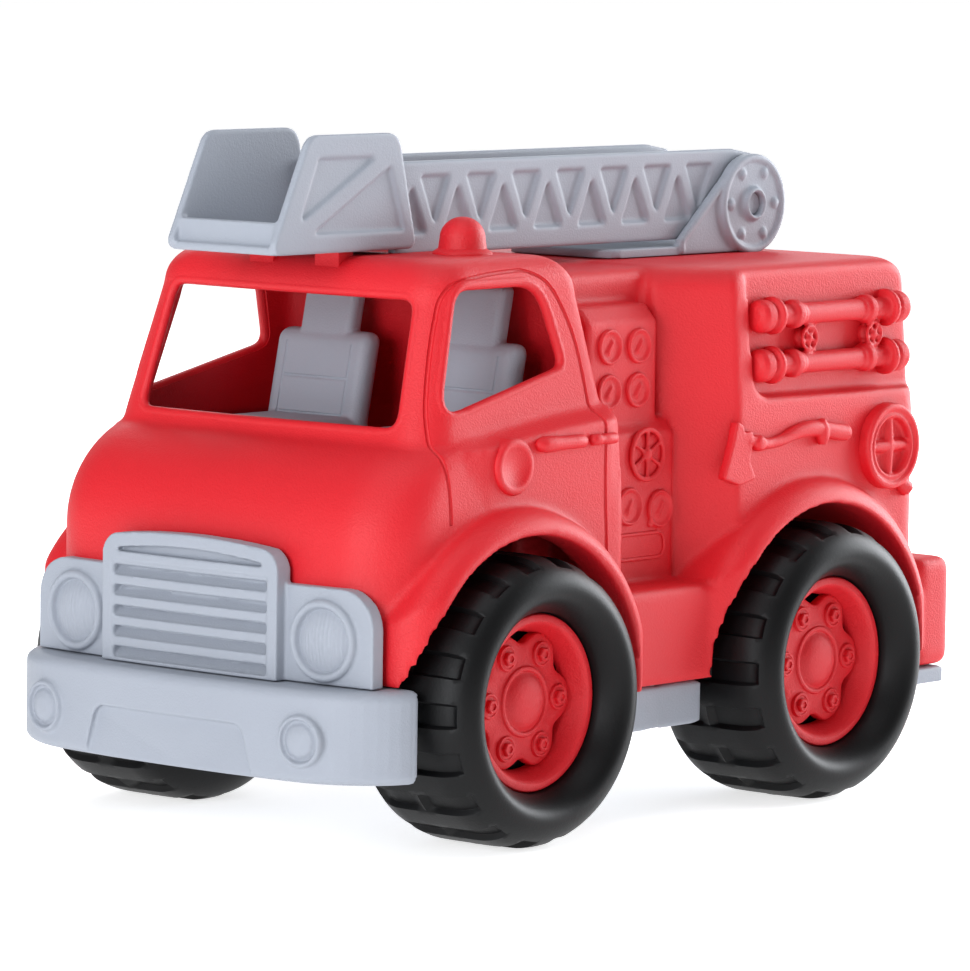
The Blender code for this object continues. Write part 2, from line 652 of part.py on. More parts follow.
def make_bumper():
    """Grey bowed bumper, hollow behind, with a fog lamp boss at each end."""
    rear = FRONT_X - BUMPER_DEPTH
    levels = crowned(BUMPER_HIGH_Z, 2 * MM, rear, FRONT_X, BUMPER_HALF_WIDTH, 2)
    levels = [(BUMPER_LOW_Z, rear, FRONT_X, BUMPER_HALF_WIDTH)] + levels
    bumper = loft("front_bumper", [(z, outline(back, fore, half, 2 * MM, 20 * MM, BUMPER_BOW))
                                   for z, back, fore, half in levels], GREY)
    wall = BUMPER_WALL
    inside = outline(rear - 10 * MM, FRONT_X - wall, BUMPER_HALF_WIDTH - wall, 2 * MM, 17 * MM,
                     BUMPER_BOW)
    cut(bumper, loft("bumper_inside", [(BUMPER_LOW_Z - wall, inside), (BUMPER_HIGH_Z - wall, inside)]))
    face = FRONT_X - BUMPER_BOW * (FOG_LAMP_Y / BUMPER_HALF_WIDTH) ** 2
    for side in (LEFT, RIGHT):
        lamp = rod(f"fog_lamp_{side}", FOG_LAMP_RADIUS, (face - 2 * MM, side * FOG_LAMP_Y, FOG_LAMP_Z),
                   (face + 0.8 * MM, side * (FOG_LAMP_Y + 0.6 * MM), FOG_LAMP_Z), sides=16)
        join(bumper, lamp)
    notch = plate_outline("bumper_notch", [(-33 * MM, BUMPER_LOW_Z - MM), (33 * MM, BUMPER_LOW_Z - MM),
                                           (27 * MM, FOG_LAMP_Z), (-27 * MM, FOG_LAMP_Z)],
                          "X", FRONT_X - 1.6 * MM, FRONT_X + MM)
    cut(bumper, notch)
    return bumper


def make_grille():
    """Grey nose panel: slotted grille standing proud between two ringed headlamps."""
    low = BUMPER_HIGH_Z + SEAT_GAP
    rear = BODY_FRONT_X + SEAT_GAP
    bow = FRONT_BOW * (LAMP_PANEL_HALF_WIDTH / CAB_HALF_WIDTH) ** 2
    front = rear + LAMP_PANEL_THICKNESS
    levels = crowned(LAMP_PANEL_TOP_Z, 1.5 * MM, rear, front, LAMP_PANEL_HALF_WIDTH, 1)
    levels = [(low, rear, front, LAMP_PANEL_HALF_WIDTH)] + levels
    panel = loft("grille_panel", [(z, outline(rear, fore, half, MM, 2 * MM, bow, bow, 2, 8))
                                  for z, _, fore, half in levels], GREY)
    proud = rear + GRILLE_THICKNESS
    half = GRILLE_HALF_WIDTH
    arch = [(half, low), (half, GRILLE_TOP_Z - 5 * MM), (half - 4 * MM, GRILLE_TOP_Z - 2.5 * MM),
            (half / 2, GRILLE_TOP_Z - 0.6 * MM), (0, GRILLE_TOP_Z)]
    arch += [(-y, z) for y, z in arch[-2::-1]]
    join(panel, plate_outline("grille_frame", arch, "X", rear + MM, proud))
    top = GRILLE_TOP_Z - 10.5 * MM
    for slot in range(GRILLE_SLOT_COUNT):
        z = top - slot * GRILLE_SLOT_PITCH
        cut(panel, box(f"grille_slot_{slot}", (proud - GRILLE_SLOT_DEPTH, -GRILLE_SLOT_HALF_LENGTH,
                                               z - GRILLE_SLOT_HEIGHT),
                       (proud + MM, GRILLE_SLOT_HALF_LENGTH, z)))
    slope = bow * (HEADLAMP_Y / LAMP_PANEL_HALF_WIDTH) ** 2
    face = front - slope
    for side in (LEFT, RIGHT):
        base = Vector((face - 3 * MM, side * (HEADLAMP_Y - 0.6 * MM), HEADLAMP_Z))
        way = Vector((1, side * 2 * slope / HEADLAMP_Y, 0)).normalized()
        ring = rod(f"headlamp_{side}", HEADLAMP_RADIUS, base, base + way * 5.5 * MM)
        join(panel, ring)
        well = rod(f"headlamp_well_{side}", HEADLAMP_RADIUS - 2.2 * MM, base + way * 4.6 * MM,
                   base + way * 8 * MM)
        cut(panel, well)
    return panel


def make_chassis():
    """Grey underbody: keel, waist, tail strip and the rails that the axles turn in."""
    low = CHASSIS_TOP_Z - CHASSIS_PLATE
    keel = CHASSIS_KEEL_HALF_WIDTH
    bow = BUMPER_BOW * (keel / (BUMPER_HALF_WIDTH - BUMPER_WALL)) ** 2
    front = FRONT_X - BUMPER_WALL - bow - 2 * SEAT_GAP
    rear = TAIL_X + 2 * MM
    tail_low = TAIL_BOTTOM_Z - SEAT_GAP - CHASSIS_PLATE
    chassis = box("chassis", (TAIL_X + TAIL_LENGTH + 4 * MM, -keel, low), (front, keel, CHASSIS_TOP_Z), GREY)
    waist_front = FRONT_AXLE_X - ARCH_RADIUS
    waist_rear = REAR_AXLE_X + ARCH_RADIUS
    waist = box("chassis_waist", (waist_rear, -CHASSIS_WAIST_HALF_WIDTH, CHASSIS_LOW_Z),
                (waist_front, CHASSIS_WAIST_HALF_WIDTH, CHASSIS_TOP_Z), bevel=1.5 * MM)
    tail = box("chassis_tail", (rear, -TAIL_HALF_WIDTH + MM, tail_low),
               (TAIL_X + TAIL_LENGTH + 8 * MM, TAIL_HALF_WIDTH - MM, TAIL_BOTTOM_Z - SEAT_GAP))
    tail_web = box("chassis_tail_web", (TAIL_X + TAIL_LENGTH + 4 * MM + SEAT_GAP, -keel, tail_low),
                   (TAIL_X + TAIL_LENGTH + 12 * MM, keel, CHASSIS_TOP_Z))
    join(chassis, waist, tail, tail_web)
    outer = keel
    inner = keel - AXLE_RAIL_THICKNESS
    for axle, x in (("front", FRONT_AXLE_X), ("rear", REAR_AXLE_X)):
        for side in (LEFT, RIGHT):
            edges = sorted((side * inner, side * outer))
            rail = box(f"{axle}_rail_{side}", (x - AXLE_RAIL_LENGTH / 2, edges[0], low),
                       (x + AXLE_RAIL_LENGTH / 2, edges[1], WHEEL_RADIUS + AXLE_RAIL_TOP))
            join(chassis, rail)
        bore = rod(f"{axle}_axle_bore", AXLE_RADIUS + RUNNING_GAP, (x, -2 * keel, WHEEL_RADIUS),
                   (x, 2 * keel, WHEEL_RADIUS), sides=12)
        cut(chassis, bore)
    return chassis


def screw_places():
    """Each screw: name, head underside point, and how far its head is let in."""
    middle = WHEELBASE_MIDDLE_X
    step_y = (STEP_HALF_WIDTH + PUMP_HALF_WIDTH) / 2 + 2 * MM
    tail_x = TAIL_X + TAIL_LENGTH / 2
    tail_low = TAIL_BOTTOM_Z - SEAT_GAP - CHASSIS_PLATE
    plate_low = CHASSIS_TOP_Z - CHASSIS_PLATE
    return (
        ("left_step_screw", (middle, step_y, CHASSIS_LOW_Z), BODY_BOTTOM_Z),
        ("right_step_screw", (middle, -step_y, CHASSIS_LOW_Z), BODY_BOTTOM_Z),
        ("left_tail_screw", (tail_x, 50 * MM, tail_low), TAIL_BOTTOM_Z),
        ("right_tail_screw", (tail_x, -50 * MM, tail_low), TAIL_BOTTOM_Z),
        ("left_floor_screw", (FLOOR_POST_X, FLOOR_POST_Y, plate_low), BODY_BOTTOM_Z),
        ("right_floor_screw", (FLOOR_POST_X, -FLOOR_POST_Y, plate_low), BODY_BOTTOM_Z),
    )


def screw_profile(length):
    head = SCREW_HEAD_HEIGHT
    return [(0, length), (SCREW_RADIUS, length), (SCREW_RADIUS, head), (SCREW_HEAD_RADIUS, head),
            (SCREW_HEAD_RADIUS, 0.6 * MM), (SCREW_HEAD_RADIUS - MM, 0), (0, 0)]


def make_screws(chassis, shell, floor):
    """Screws driven up through the chassis, each in its own clearance holes."""
    screws = []
    for name, (x, y, low), seat in screw_places():
        length = seat - low + SCREW_GRIP
        head_low = low + 0.8 * MM
        place = Matrix.Translation((x, y, head_low))
        screws.append(turned(name, screw_profile(length - 2 * MM), place, 8, STEEL))
        well = rod(f"{name}_well", SCREW_HEAD_RADIUS + SEAT_GAP, (x, y, low - MM),
                   (x, y, head_low + SCREW_HEAD_HEIGHT + SEAT_GAP), sides=8)
        hole = rod(f"{name}_hole", SCREW_RADIUS + SEAT_GAP, (x, y, low), (x, y, seat + 5 * MM), sides=8)
        pilot = rod(f"{name}_pilot", SCREW_RADIUS + SEAT_GAP, (x, y, seat - 2 * MM),
                    (x, y, low + length), sides=8)
        cut(chassis, well, hole)
        cut(floor if "floor" in name else shell, pilot)
    return screws


def make_floor():
    """Grey cab floor on two posts that stand on the chassis."""
    rear = CAB_REAR_X + BODY_WALL + 2 * MM
    front = BODY_FRONT_X - BODY_WALL - 24 * MM
    half = GREENHOUSE_HALF_WIDTH - BODY_WALL - 3 * MM
    floor = box("cab_floor", (rear, -half, FLOOR_Z), (front, half, FLOOR_Z + FLOOR_THICKNESS), GREY)
    half = FLOOR_POST_WIDTH / 2
    for side in (LEFT, RIGHT):
        y = side * FLOOR_POST_Y
        post = box(f"floor_post_{side}", (FLOOR_POST_X - half, y - half, CHASSIS_TOP_Z + SEAT_GAP),
                   (FLOOR_POST_X + half, y + half, FLOOR_Z + MM))
        join(floor, post)
    return floor


def make_seat(side):
    """Grey bucket seat: cushion, reclined back and headrest in one moulding."""
    name = "left_seat" if side == LEFT else "right_seat"
    low = FLOOR_Z + FLOOR_THICKNESS + SEAT_GAP
    y = side * SEAT_Y
    half = SEAT_HALF_WIDTH
    back = SEAT_BACK_X
    seat = box(name, (back - SEAT_BACK_THICKNESS / 2, y - half, low),
               (back + SEAT_CUSHION_LENGTH, y + half, low + SEAT_CUSHION_HEIGHT), GREY, 4 * MM, 2)
    rest = box(f"{name}_back", (back - SEAT_BACK_THICKNESS, y - half, low + 2 * MM),
               (back, y + half, SEAT_BACK_TOP_Z), bevel=3.5 * MM)
    head = box(f"{name}_head", (back - SEAT_BACK_THICKNESS + MM, y - HEADREST_HALF_WIDTH,
                                SEAT_BACK_TOP_Z - 6 * MM),
               (back - 0.5 * MM, y + HEADREST_HALF_WIDTH, HEADREST_TOP_Z), bevel=3 * MM)
    join(seat, rest, head)
    return seat


def wheel_place(x, side):
    """Turn a profile's height axis out along the axle, its foot on the car's middle plane."""
    return Matrix.Translation((x, 0, WHEEL_RADIUS)) @ Matrix.Rotation(math.radians(-90 * side), 4, "X")


def tyre_profile():
    """Half-sections of (radius, distance out): bulged outer wall, rounded tread, flat inner wall."""
    outer = TYRE_OUTER_Y
    inner = outer - TYRE_WIDTH
    bore = RIM_RADIUS + SEAT_GAP
    crown = WHEEL_RADIUS
    wall = crown - bore
    return [(bore, RIM_FACE_Y - 3 * MM), (bore + 0.08 * wall, RIM_FACE_Y + 2 * MM),
            (bore + 0.28 * wall, outer - 1.5 * MM), (bore + 0.55 * wall, outer),
            (bore + 0.82 * wall, outer - 2 * MM), (crown - 0.6 * MM, outer - 6 * MM), (crown, outer - 11 * MM),
            (crown, inner + 8 * MM), (bore + 0.6 * wall, inner), (bore, inner + MM)]


def cut_lugs(tyre, x):
    """Sink every other row of tread points, which leaves a lug standing on the ground and all round."""
    axis = Vector((x, 0, WHEEL_RADIUS))
    for vertex in tyre.data.vertices:
        arm = vertex.co - axis
        arm.y = 0
        row = round(LUG_COUNT * math.atan2(arm.x, -arm.z) / math.pi)
        if row % 2 and arm.length > WHEEL_RADIUS - 2 * MM:
            vertex.co -= arm.normalized() * LUG_DEPTH


def make_wheel(axle, side, x):
    """One tyre on one spoked rim."""
    label = f"{axle}_{'left' if side == LEFT else 'right'}"
    place = wheel_place(x, side)
    tyre = turned(f"{label}_tyre", tyre_profile(), place, 2 * LUG_COUNT, BLACK)
    cut_lugs(tyre, x)
    face = RIM_FACE_Y
    back = RIM_INNER_Y
    dish = face - RIM_DISH_DEPTH
    web = 3 * MM
    bore = AXLE_RADIUS + SEAT_GAP
    lip = RIM_RADIUS - RIM_LIP
    grip = back + AXLE_GRIP
    profile = [(0, face - 1.5 * MM), (HUB_RADIUS - 3 * MM, face - 2.6 * MM), (HUB_RADIUS, dish),
               (lip - 1.5 * MM, dish), (lip, face - 1.2 * MM), (lip + MM, face), (RIM_RADIUS, face - MM),
               (RIM_RADIUS, back), (RIM_RADIUS - 3 * MM, back), (RIM_RADIUS - 3.5 * MM, dish - web),
               (HUB_RADIUS - 2 * MM, dish - web), (HUB_RADIUS - 2 * MM, back), (bore, back), (bore, grip), (0, grip)]
    rim = turned(f"{label}_rim", profile, place, 16, RED)
    for i in range(RIM_HOLE_COUNT):
        turn = 2 * math.pi * i / RIM_HOLE_COUNT
        hx = x + RIM_HOLE_CIRCLE * math.sin(turn)
        hz = WHEEL_RADIUS + RIM_HOLE_CIRCLE * math.cos(turn)
        cut(rim, rod(f"{label}_window_{i}", RIM_HOLE_RADIUS, (hx, side * (dish - 2 * web), hz),
                     (hx, side * (face + MM), hz), sides=6))
    return tyre, rim


def make_axle(axle, x):
    reach = RIM_INNER_Y + AXLE_GRIP - SEAT_GAP
    return rod(f"{axle}_axle", AXLE_RADIUS, (x, -reach, WHEEL_RADIUS), (x, reach, WHEEL_RADIUS), STEEL, 12)


def make_turntable():
    """Grey base plate with two round cheeks for the ladder and a stem through the roof."""
    plate = loft("turntable", [(z, outline(SWIVEL_X - PLATE_REACH, SWIVEL_X + PLATE_REACH, PLATE_HALF_WIDTH,
                                           6 * MM, 6 * MM)) for z in (PLATE_LOW_Z, PLATE_TOP_Z)], GREY)
    inner = LADDER_HALF_WIDTH + RUNNING_GAP
    outer = inner + CHEEK_THICKNESS
    foot = LIFT_X + CHEEK_RADIUS + CHEEK_WEB_REACH
    low = PLATE_LOW_Z + MM
    points = [(LIFT_X - CHEEK_RADIUS * 0.8, low), (foot, low), (foot, PLATE_TOP_Z + 1.5 * MM)]
    points += arc(LIFT_X, LIFT_Z, CHEEK_RADIUS, 40, 200, 14)
    for side in (LEFT, RIGHT):
        cheek = plate_outline(f"cheek_{side}", points, "Y", side * inner, side * outer)
        join(plate, cheek)
    stem_low = BOX_TOP_Z - BOX_WALL - 2.5 * MM
    stem = rod("swivel_stem", STEM_RADIUS, (SWIVEL_X, 0, stem_low), (SWIVEL_X, 0, PLATE_LOW_Z + MM))
    join(plate, stem)
    pin = rod("cheek_bore", PIN_RADIUS + RUNNING_GAP, (LIFT_X, -2 * outer, LIFT_Z), (LIFT_X, 2 * outer, LIFT_Z))
    pilot = rod("stem_pilot", SCREW_RADIUS + SEAT_GAP, (SWIVEL_X, 0, stem_low - MM),
                (SWIVEL_X, 0, PLATE_LOW_Z), sides=8)
    cut(plate, pin, pilot)
    washer_high = stem_low - SEAT_GAP
    washer_low = washer_high - WASHER_THICKNESS
    hole = SCREW_RADIUS + SEAT_GAP
    washer = turned("turntable_washer", [(hole, washer_high), (WASHER_RADIUS, washer_high),
                                         (WASHER_RADIUS, washer_low), (hole, washer_low)],
                    Matrix.Translation((SWIVEL_X, 0, 0)), 12, STEEL)
    head = washer_low - SEAT_GAP - SCREW_HEAD_HEIGHT
    length = PLATE_LOW_Z - MM - head
    screw = turned("turntable_screw", screw_profile(length), Matrix.Translation((SWIVEL_X, 0, head)), 8, STEEL)
    return plate, washer, screw


def cut_braces(ladder):
    """Sunk triangles along the outside of both walls, which leave a zigzag of braces."""
    low = LADDER_LOW_Z + BRACE_RAIL
    high = LADDER_HIGH_Z - BRACE_RAIL
    rear = LIFT_X + CHEEK_RADIUS + 6 * MM
    pitch = (BUCKET_REAR_X - 4 * MM - rear) / BRACE_COUNT
    rib = BRACE_RIB
    for side in (LEFT, RIGHT):
        face = side * LADDER_HALF_WIDTH
        for bay in range(BRACE_COUNT):
            x = rear + bay * pitch
            hanging = [(x + rib, high), (x + pitch - rib, high), (x + pitch / 2, low + rib)]
            standing = [(x + pitch / 2 + rib, low), (x + pitch * 1.5 - rib, low), (x + pitch, high - rib)]
            for label, points in (("hanging", hanging), ("standing", standing)):
                if label == "hanging" or bay + 1 < BRACE_COUNT:
                    cut(ladder, plate_outline(f"{label}_brace_{side}_{bay}", points, "Y",
                                              face - side * BRACE_DEPTH, face + side * MM))


def make_ladder():
    """Grey ladder: two braced side walls joined by round rungs."""
    tail = LADDER_TAIL_RADIUS
    high = LADDER_HIGH_Z
    low = LADDER_LOW_Z
    points = [(LADDER_FRONT_X, low), (LADDER_FRONT_X, high)]
    points += [(LIFT_X + 6 * MM, high), (LIFT_X - 4 * MM, LIFT_Z + 0.9 * (high - LIFT_Z))]
    points += arc(LIFT_X, LIFT_Z, tail, 130, 250, 8)
    points += [(LIFT_X + tail, low)]
    walls = []
    for side in (LEFT, RIGHT):
        outer = side * LADDER_HALF_WIDTH
        name = "ladder" if side == LEFT else "ladder_right_wall"
        walls.append(plate_outline(name, points, "Y", outer, outer - side * LADDER_WALL, GREY))
    ladder, right_wall = walls
    first = LIFT_X + 20 * MM
    last = BUCKET_REAR_X - 6 * MM
    reach = LADDER_HALF_WIDTH - LADDER_WALL / 2
    for i in range(RUNG_COUNT):
        x = first + (last - first) * i / (RUNG_COUNT - 1)
        join(ladder, rod(f"rung_{i}", RUNG_RADIUS, (x, -reach, RUNG_Z), (x, reach, RUNG_Z), sides=6))
    join(ladder, right_wall)
    cut_braces(ladder)
    bore = rod("ladder_bore", PIN_RADIUS + SEAT_GAP, (LIFT_X, -2 * reach, LIFT_Z), (LIFT_X, 2 * reach, LIFT_Z))
    cut(ladder, bore)
    reach = LADDER_HALF_WIDTH + RUNNING_GAP + CHEEK_THICKNESS - 0.8 * MM
    pin = rod("ladder_pin", PIN_RADIUS, (LIFT_X, -reach, LIFT_Z), (LIFT_X, reach, LIFT_Z), GREY)
    return ladder, pin


def make_bucket():
    """Grey rescue bucket: raked side walls, floor and a low front lip, open on top."""
    low = LADDER_LOW_Z
    inner = LADDER_HALF_WIDTH + SEAT_GAP
    outer = inner + BUCKET_WALL
    corner = 5 * MM
    points = [(BUCKET_REAR_X, low), (BUCKET_FRONT_X, low), (BUCKET_FRONT_X, low + 4 * MM)]
    points += arc(BUCKET_TOP_FRONT_X - corner, BUCKET_TOP_Z - corner, corner, 20, 90, 3)
    points += arc(BUCKET_TOP_REAR_X + corner, BUCKET_TOP_Z - corner, corner, 90, 165, 3)
    bucket = plate_outline("rescue_bucket", points, "Y", outer, inner, GREY)
    right = plate_outline("bucket_right_wall", points, "Y", -outer, -inner)
    floor = box("bucket_floor", (LADDER_FRONT_X + SEAT_GAP, -inner - MM, low),
                (BUCKET_FRONT_X - MM, inner + MM, low + BUCKET_WALL))
    lip = box("bucket_lip", (BUCKET_FRONT_X - BUCKET_WALL - 3 * MM, -inner - MM, low),
              (BUCKET_FRONT_X - 3 * MM, inner + MM, low + BUCKET_LIP))
    join(bucket, floor, lip, right)
    return bucket


def main():
    shell = make_body_shell()
    for side in (LEFT, RIGHT):
        make_beacon(side)
    make_bumper()
    make_grille()
    chassis = make_chassis()
    floor = make_floor()
    for side in (LEFT, RIGHT):
        make_seat(side)
    make_screws(chassis, shell, floor)
    for axle, x in (("front", FRONT_AXLE_X), ("rear", REAR_AXLE_X)):
        pieces = [make_axle(axle, x)]
        for side in (LEFT, RIGHT):
            pieces += make_wheel(axle, side, x)
        carry(joint_empty(f"{axle}_axle_line", (x, 0, WHEEL_RADIUS)), *pieces)
    swivel = joint_empty("swivel_line", (SWIVEL_X, 0, PLATE_LOW_Z))
    carry(swivel, *make_turntable())
    lift = joint_empty("lift_line", (LIFT_X, 0, LIFT_Z))
    carry(swivel, lift)
    carry(lift, *make_ladder(), make_bucket())


main()
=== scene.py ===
import json
import math

import bpy
import numpy as np
from mathutils import Matrix, Vector


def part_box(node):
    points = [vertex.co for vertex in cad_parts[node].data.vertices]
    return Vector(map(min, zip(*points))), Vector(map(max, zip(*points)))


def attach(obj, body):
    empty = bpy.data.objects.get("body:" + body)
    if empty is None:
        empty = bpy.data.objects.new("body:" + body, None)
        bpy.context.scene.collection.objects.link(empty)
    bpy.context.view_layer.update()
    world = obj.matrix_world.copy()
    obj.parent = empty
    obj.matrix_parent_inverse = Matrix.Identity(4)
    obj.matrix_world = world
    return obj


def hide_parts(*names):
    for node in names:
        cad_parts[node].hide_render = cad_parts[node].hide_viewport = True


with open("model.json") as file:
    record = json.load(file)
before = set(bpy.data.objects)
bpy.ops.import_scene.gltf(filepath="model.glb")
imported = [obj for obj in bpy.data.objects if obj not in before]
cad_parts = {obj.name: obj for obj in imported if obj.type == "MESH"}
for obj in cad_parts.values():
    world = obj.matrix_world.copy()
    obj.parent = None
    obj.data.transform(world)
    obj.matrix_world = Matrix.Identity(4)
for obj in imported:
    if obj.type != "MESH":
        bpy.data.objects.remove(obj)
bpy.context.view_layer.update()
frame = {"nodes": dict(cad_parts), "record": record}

MM = 0.001

# Stage: a pale seamless floor that glows a little, large soft boxes and a long lens.
# The camera stands where the photograph was taken from, low at the left front corner.
# Nothing here is part of the toy.
FLOOR_SIZE = 80
PAPER_GLOW = 0.7
WORLD_GLOW = 0.33
bpy.context.scene.view_settings.view_transform = "Standard"
bpy.ops.object.select_all(action="DESELECT")
bpy.ops.mesh.primitive_plane_add(size=FLOOR_SIZE, location=(0, 0, 0))
floor = bpy.context.active_object
floor.name = "studio_floor"


def linear(code):
    """An sRGB hex colour as linear RGBA."""
    parts = [int(code[i:i + 2], 16) / 255 for i in (1, 3, 5)]
    return (*(c / 12.92 if c <= 0.04045 else ((c + 0.055) / 1.055) ** 2.4 for c in parts), 1)


def add_node(material, kind, inputs=None, **settings):
    """One shader node with its settings, its inputs given as values or as sockets to link."""
    tree = material.node_tree
    made = tree.nodes.new(kind)
    for key, value in settings.items():
        setattr(made, key, value)
    for key, value in (inputs or {}).items():
        if isinstance(value, bpy.types.NodeSocket):
            tree.links.new(value, made.inputs[key])
        else:
            made.inputs[key].default_value = value
    return made


paper = bpy.data.materials.new("seamless_paper")
paper.use_nodes = True
paper_shader = paper.node_tree.nodes["Principled BSDF"]
paper_shader.inputs["Roughness"].default_value = 0.9
paper_place = add_node(paper, "ShaderNodeTexCoord")
paper_pulp = add_node(paper, "ShaderNodeTexNoise", {"Vector": paper_place.outputs["Object"], "Scale": 2.0})
paper_tone = add_node(paper, "ShaderNodeMix", {"Factor": paper_pulp.outputs["Fac"], "A": linear("#F4F4F4"),
                                               "B": linear("#F8F8F8")}, data_type="RGBA")
paper.node_tree.links.new(paper_tone.outputs["Result"], paper_shader.inputs["Base Color"])
paper_shader.inputs["Emission Color"].default_value = linear("#FFFFFF")
paper_shader.inputs["Emission Strength"].default_value = PAPER_GLOW
floor.data.materials.append(paper)

world = bpy.data.worlds.new("studio_white")
world.use_nodes = True
world.node_tree.nodes["Background"].inputs["Color"].default_value = linear("#FFFFFF")
world.node_tree.nodes["Background"].inputs["Strength"].default_value = WORLD_GLOW
bpy.context.scene.world = world

SOFT_BOXES = (("top_box", (0.35, 0.2, 1.5), 1.0, 7.0), ("side_box", (-1.75, 0.42, 0.48), 1.2, 52.0),
              ("back_box", (-0.95, -1.0, 0.95), 1.0, 8.0), ("front_box", (1.75, 0.3, 0.48), 1.0, 23.0))
COOL_WHITE = (0.93, 0.96, 1.0)
AIM = Vector((0, 0, 90 * MM))
for label, place, width, watts in SOFT_BOXES:
    lamp = bpy.data.lights.new(label, "AREA")
    lamp.shape = "SQUARE"
    lamp.size = width
    lamp.energy = watts
    lamp.color = COOL_WHITE
    holder = bpy.data.objects.new(label, lamp)
    holder.location = place
    holder.visible_camera = False
    holder.rotation_euler = (AIM - Vector(place)).to_track_quat("-Z", "Y").to_euler()
    bpy.context.scene.collection.objects.link(holder)

CAMERA_PLACE = Vector((1.34249, 1.16579, 0.27005))
CAMERA_TURN = math.radians(40.952)
CAMERA_RISE = math.radians(5.733)
CAMERA_ROLL = math.radians(0.798)
CAMERA_LENS_MM = 226.35
back = Vector((math.cos(CAMERA_RISE) * math.cos(CAMERA_TURN),
               math.cos(CAMERA_RISE) * math.sin(CAMERA_TURN), math.sin(CAMERA_RISE)))
level = Vector((-math.sin(CAMERA_TURN), math.cos(CAMERA_TURN), 0))
upright = back.cross(level)
right = level * math.cos(CAMERA_ROLL) + upright * math.sin(CAMERA_ROLL)
up = upright * math.cos(CAMERA_ROLL) - level * math.sin(CAMERA_ROLL)
camera = bpy.data.objects.new("photo_camera", bpy.data.cameras.new("photo_camera"))
camera.data.sensor_width = 36
camera.data.lens = CAMERA_LENS_MM
camera.data.clip_end = 30
camera.matrix_world = Matrix([(right[i], up[i], back[i], CAMERA_PLACE[i]) for i in range(3)] + [(0, 0, 0, 1)])
bpy.context.scene.collection.objects.link(camera)
bpy.context.scene.camera = camera

# Chassis: one grey polyethylene moulding under the toy, with rails that the axles run in.
# Injection moulded with a fine spark-eroded texture, and screwed up into the body.
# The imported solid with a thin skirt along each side, melted so that its edges are soft.
SKIRT_MM = (39, 1.8, 12.4)
SKIRT_PLACE_MM = (-1.5, 65.3, 32.6)
CHASSIS_VOXEL = 1.0 * MM
MERGE_REACH = 0.01 * MM
PLASTIC_IOR = 1.51
FLOW_MARK = 35 * MM


def pick(*pieces):
    """Select pieces, with the first one active."""
    bpy.ops.object.select_all(action="DESELECT")
    for piece in pieces:
        piece.select_set(True)
    bpy.context.view_layer.objects.active = pieces[0]


def joined(name, pieces):
    """Several meshes as one piece."""
    pick(*pieces)
    bpy.ops.object.join()
    pieces[0].name = name
    return pieces[0]


def modify(piece, kind, **settings):
    """Add a modifier to a piece and apply it at once."""
    step = piece.modifiers.new(kind.lower(), kind)
    for key, value in settings.items():
        setattr(step, key, value)
    bpy.context.view_layer.objects.active = piece
    bpy.ops.object.modifier_apply(modifier=step.name)
    return piece


def melt(piece, voxel, passes):
    """Remesh a joined form and relax it, which leaves a moulded fillet in every corner."""
    modify(piece, "REMESH", mode="VOXEL", voxel_size=voxel)
    return modify(piece, "SMOOTH", factor=0.5, iterations=passes)


def moulded_plastic(name, colour, shade, roughness, grain_mm, relief_mm, gloss_drift=0.06, specular=0.3):
    """Textured moulded plastic: a fine eroded grain, soft flow marks in colour and in gloss."""
    material = bpy.data.materials.new(name)
    material.use_nodes = True
    shader = material.node_tree.nodes["Principled BSDF"]
    shader.inputs["IOR"].default_value = PLASTIC_IOR
    shader.inputs["Specular IOR Level"].default_value = specular
    place = add_node(material, "ShaderNodeTexCoord").outputs["Object"]
    grain = add_node(material, "ShaderNodeTexNoise", {"Vector": place, "Scale": 1 / (grain_mm * MM),
                                                      "Detail": 3.0, "Roughness": 0.6})
    flow = add_node(material, "ShaderNodeTexNoise", {"Vector": place, "Scale": 1 / FLOW_MARK, "Detail": 2.0})
    tone = add_node(material, "ShaderNodeMix", {"Factor": flow.outputs["Fac"], "A": linear(colour),
                                                "B": linear(shade)}, data_type="RGBA")
    gloss = add_node(material, "ShaderNodeMapRange", {"Value": grain.outputs["Fac"],
                                                      "To Min": roughness - gloss_drift,
                                                      "To Max": roughness + gloss_drift})
    bump = add_node(material, "ShaderNodeBump", {"Height": grain.outputs["Fac"], "Strength": 1.0,
                                                 "Distance": relief_mm * MM})
    links = material.node_tree.links
    links.new(tone.outputs["Result"], shader.inputs["Base Color"])
    links.new(gloss.outputs["Result"], shader.inputs["Roughness"])
    links.new(bump.outputs["Normal"], shader.inputs["Normal"])
    return material


def dress(piece, body, slot, material, *nodes, angle=60):
    """Finish a piece: its material, its shading, the body it moves with and the nodes it stands for."""
    piece.data.materials.clear()
    piece.data.materials.append(material)
    pick(piece)
    bpy.ops.object.shade_smooth_by_angle(angle=math.radians(angle))
    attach(piece, body)
    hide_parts(*nodes)


grey_polyethylene = moulded_plastic("grey_polyethylene", "#9A9FA9", "#9499A3", 0.52, 0.6, 0.11)
chassis = frame["nodes"]["chassis"].copy()
chassis.data = chassis.data.copy()
for key in list(chassis.keys()):
    del chassis[key]
bpy.context.scene.collection.objects.link(chassis)
chassis.parent = None
pick(chassis)
bpy.ops.object.mode_set(mode="EDIT")
bpy.ops.mesh.select_all(action="SELECT")
bpy.ops.mesh.remove_doubles(threshold=MERGE_REACH)
bpy.ops.object.mode_set(mode="OBJECT")
skirts = []
for side in (1, -1):
    x, y, z = (value * MM for value in SKIRT_PLACE_MM)
    size = [value * MM for value in SKIRT_MM]
    bpy.ops.mesh.primitive_cube_add(size=1, location=(x, side * y, z), scale=size)
    skirts.append(bpy.context.active_object)
melt(joined("grey_chassis", [chassis, *skirts]), CHASSIS_VOXEL, 2)
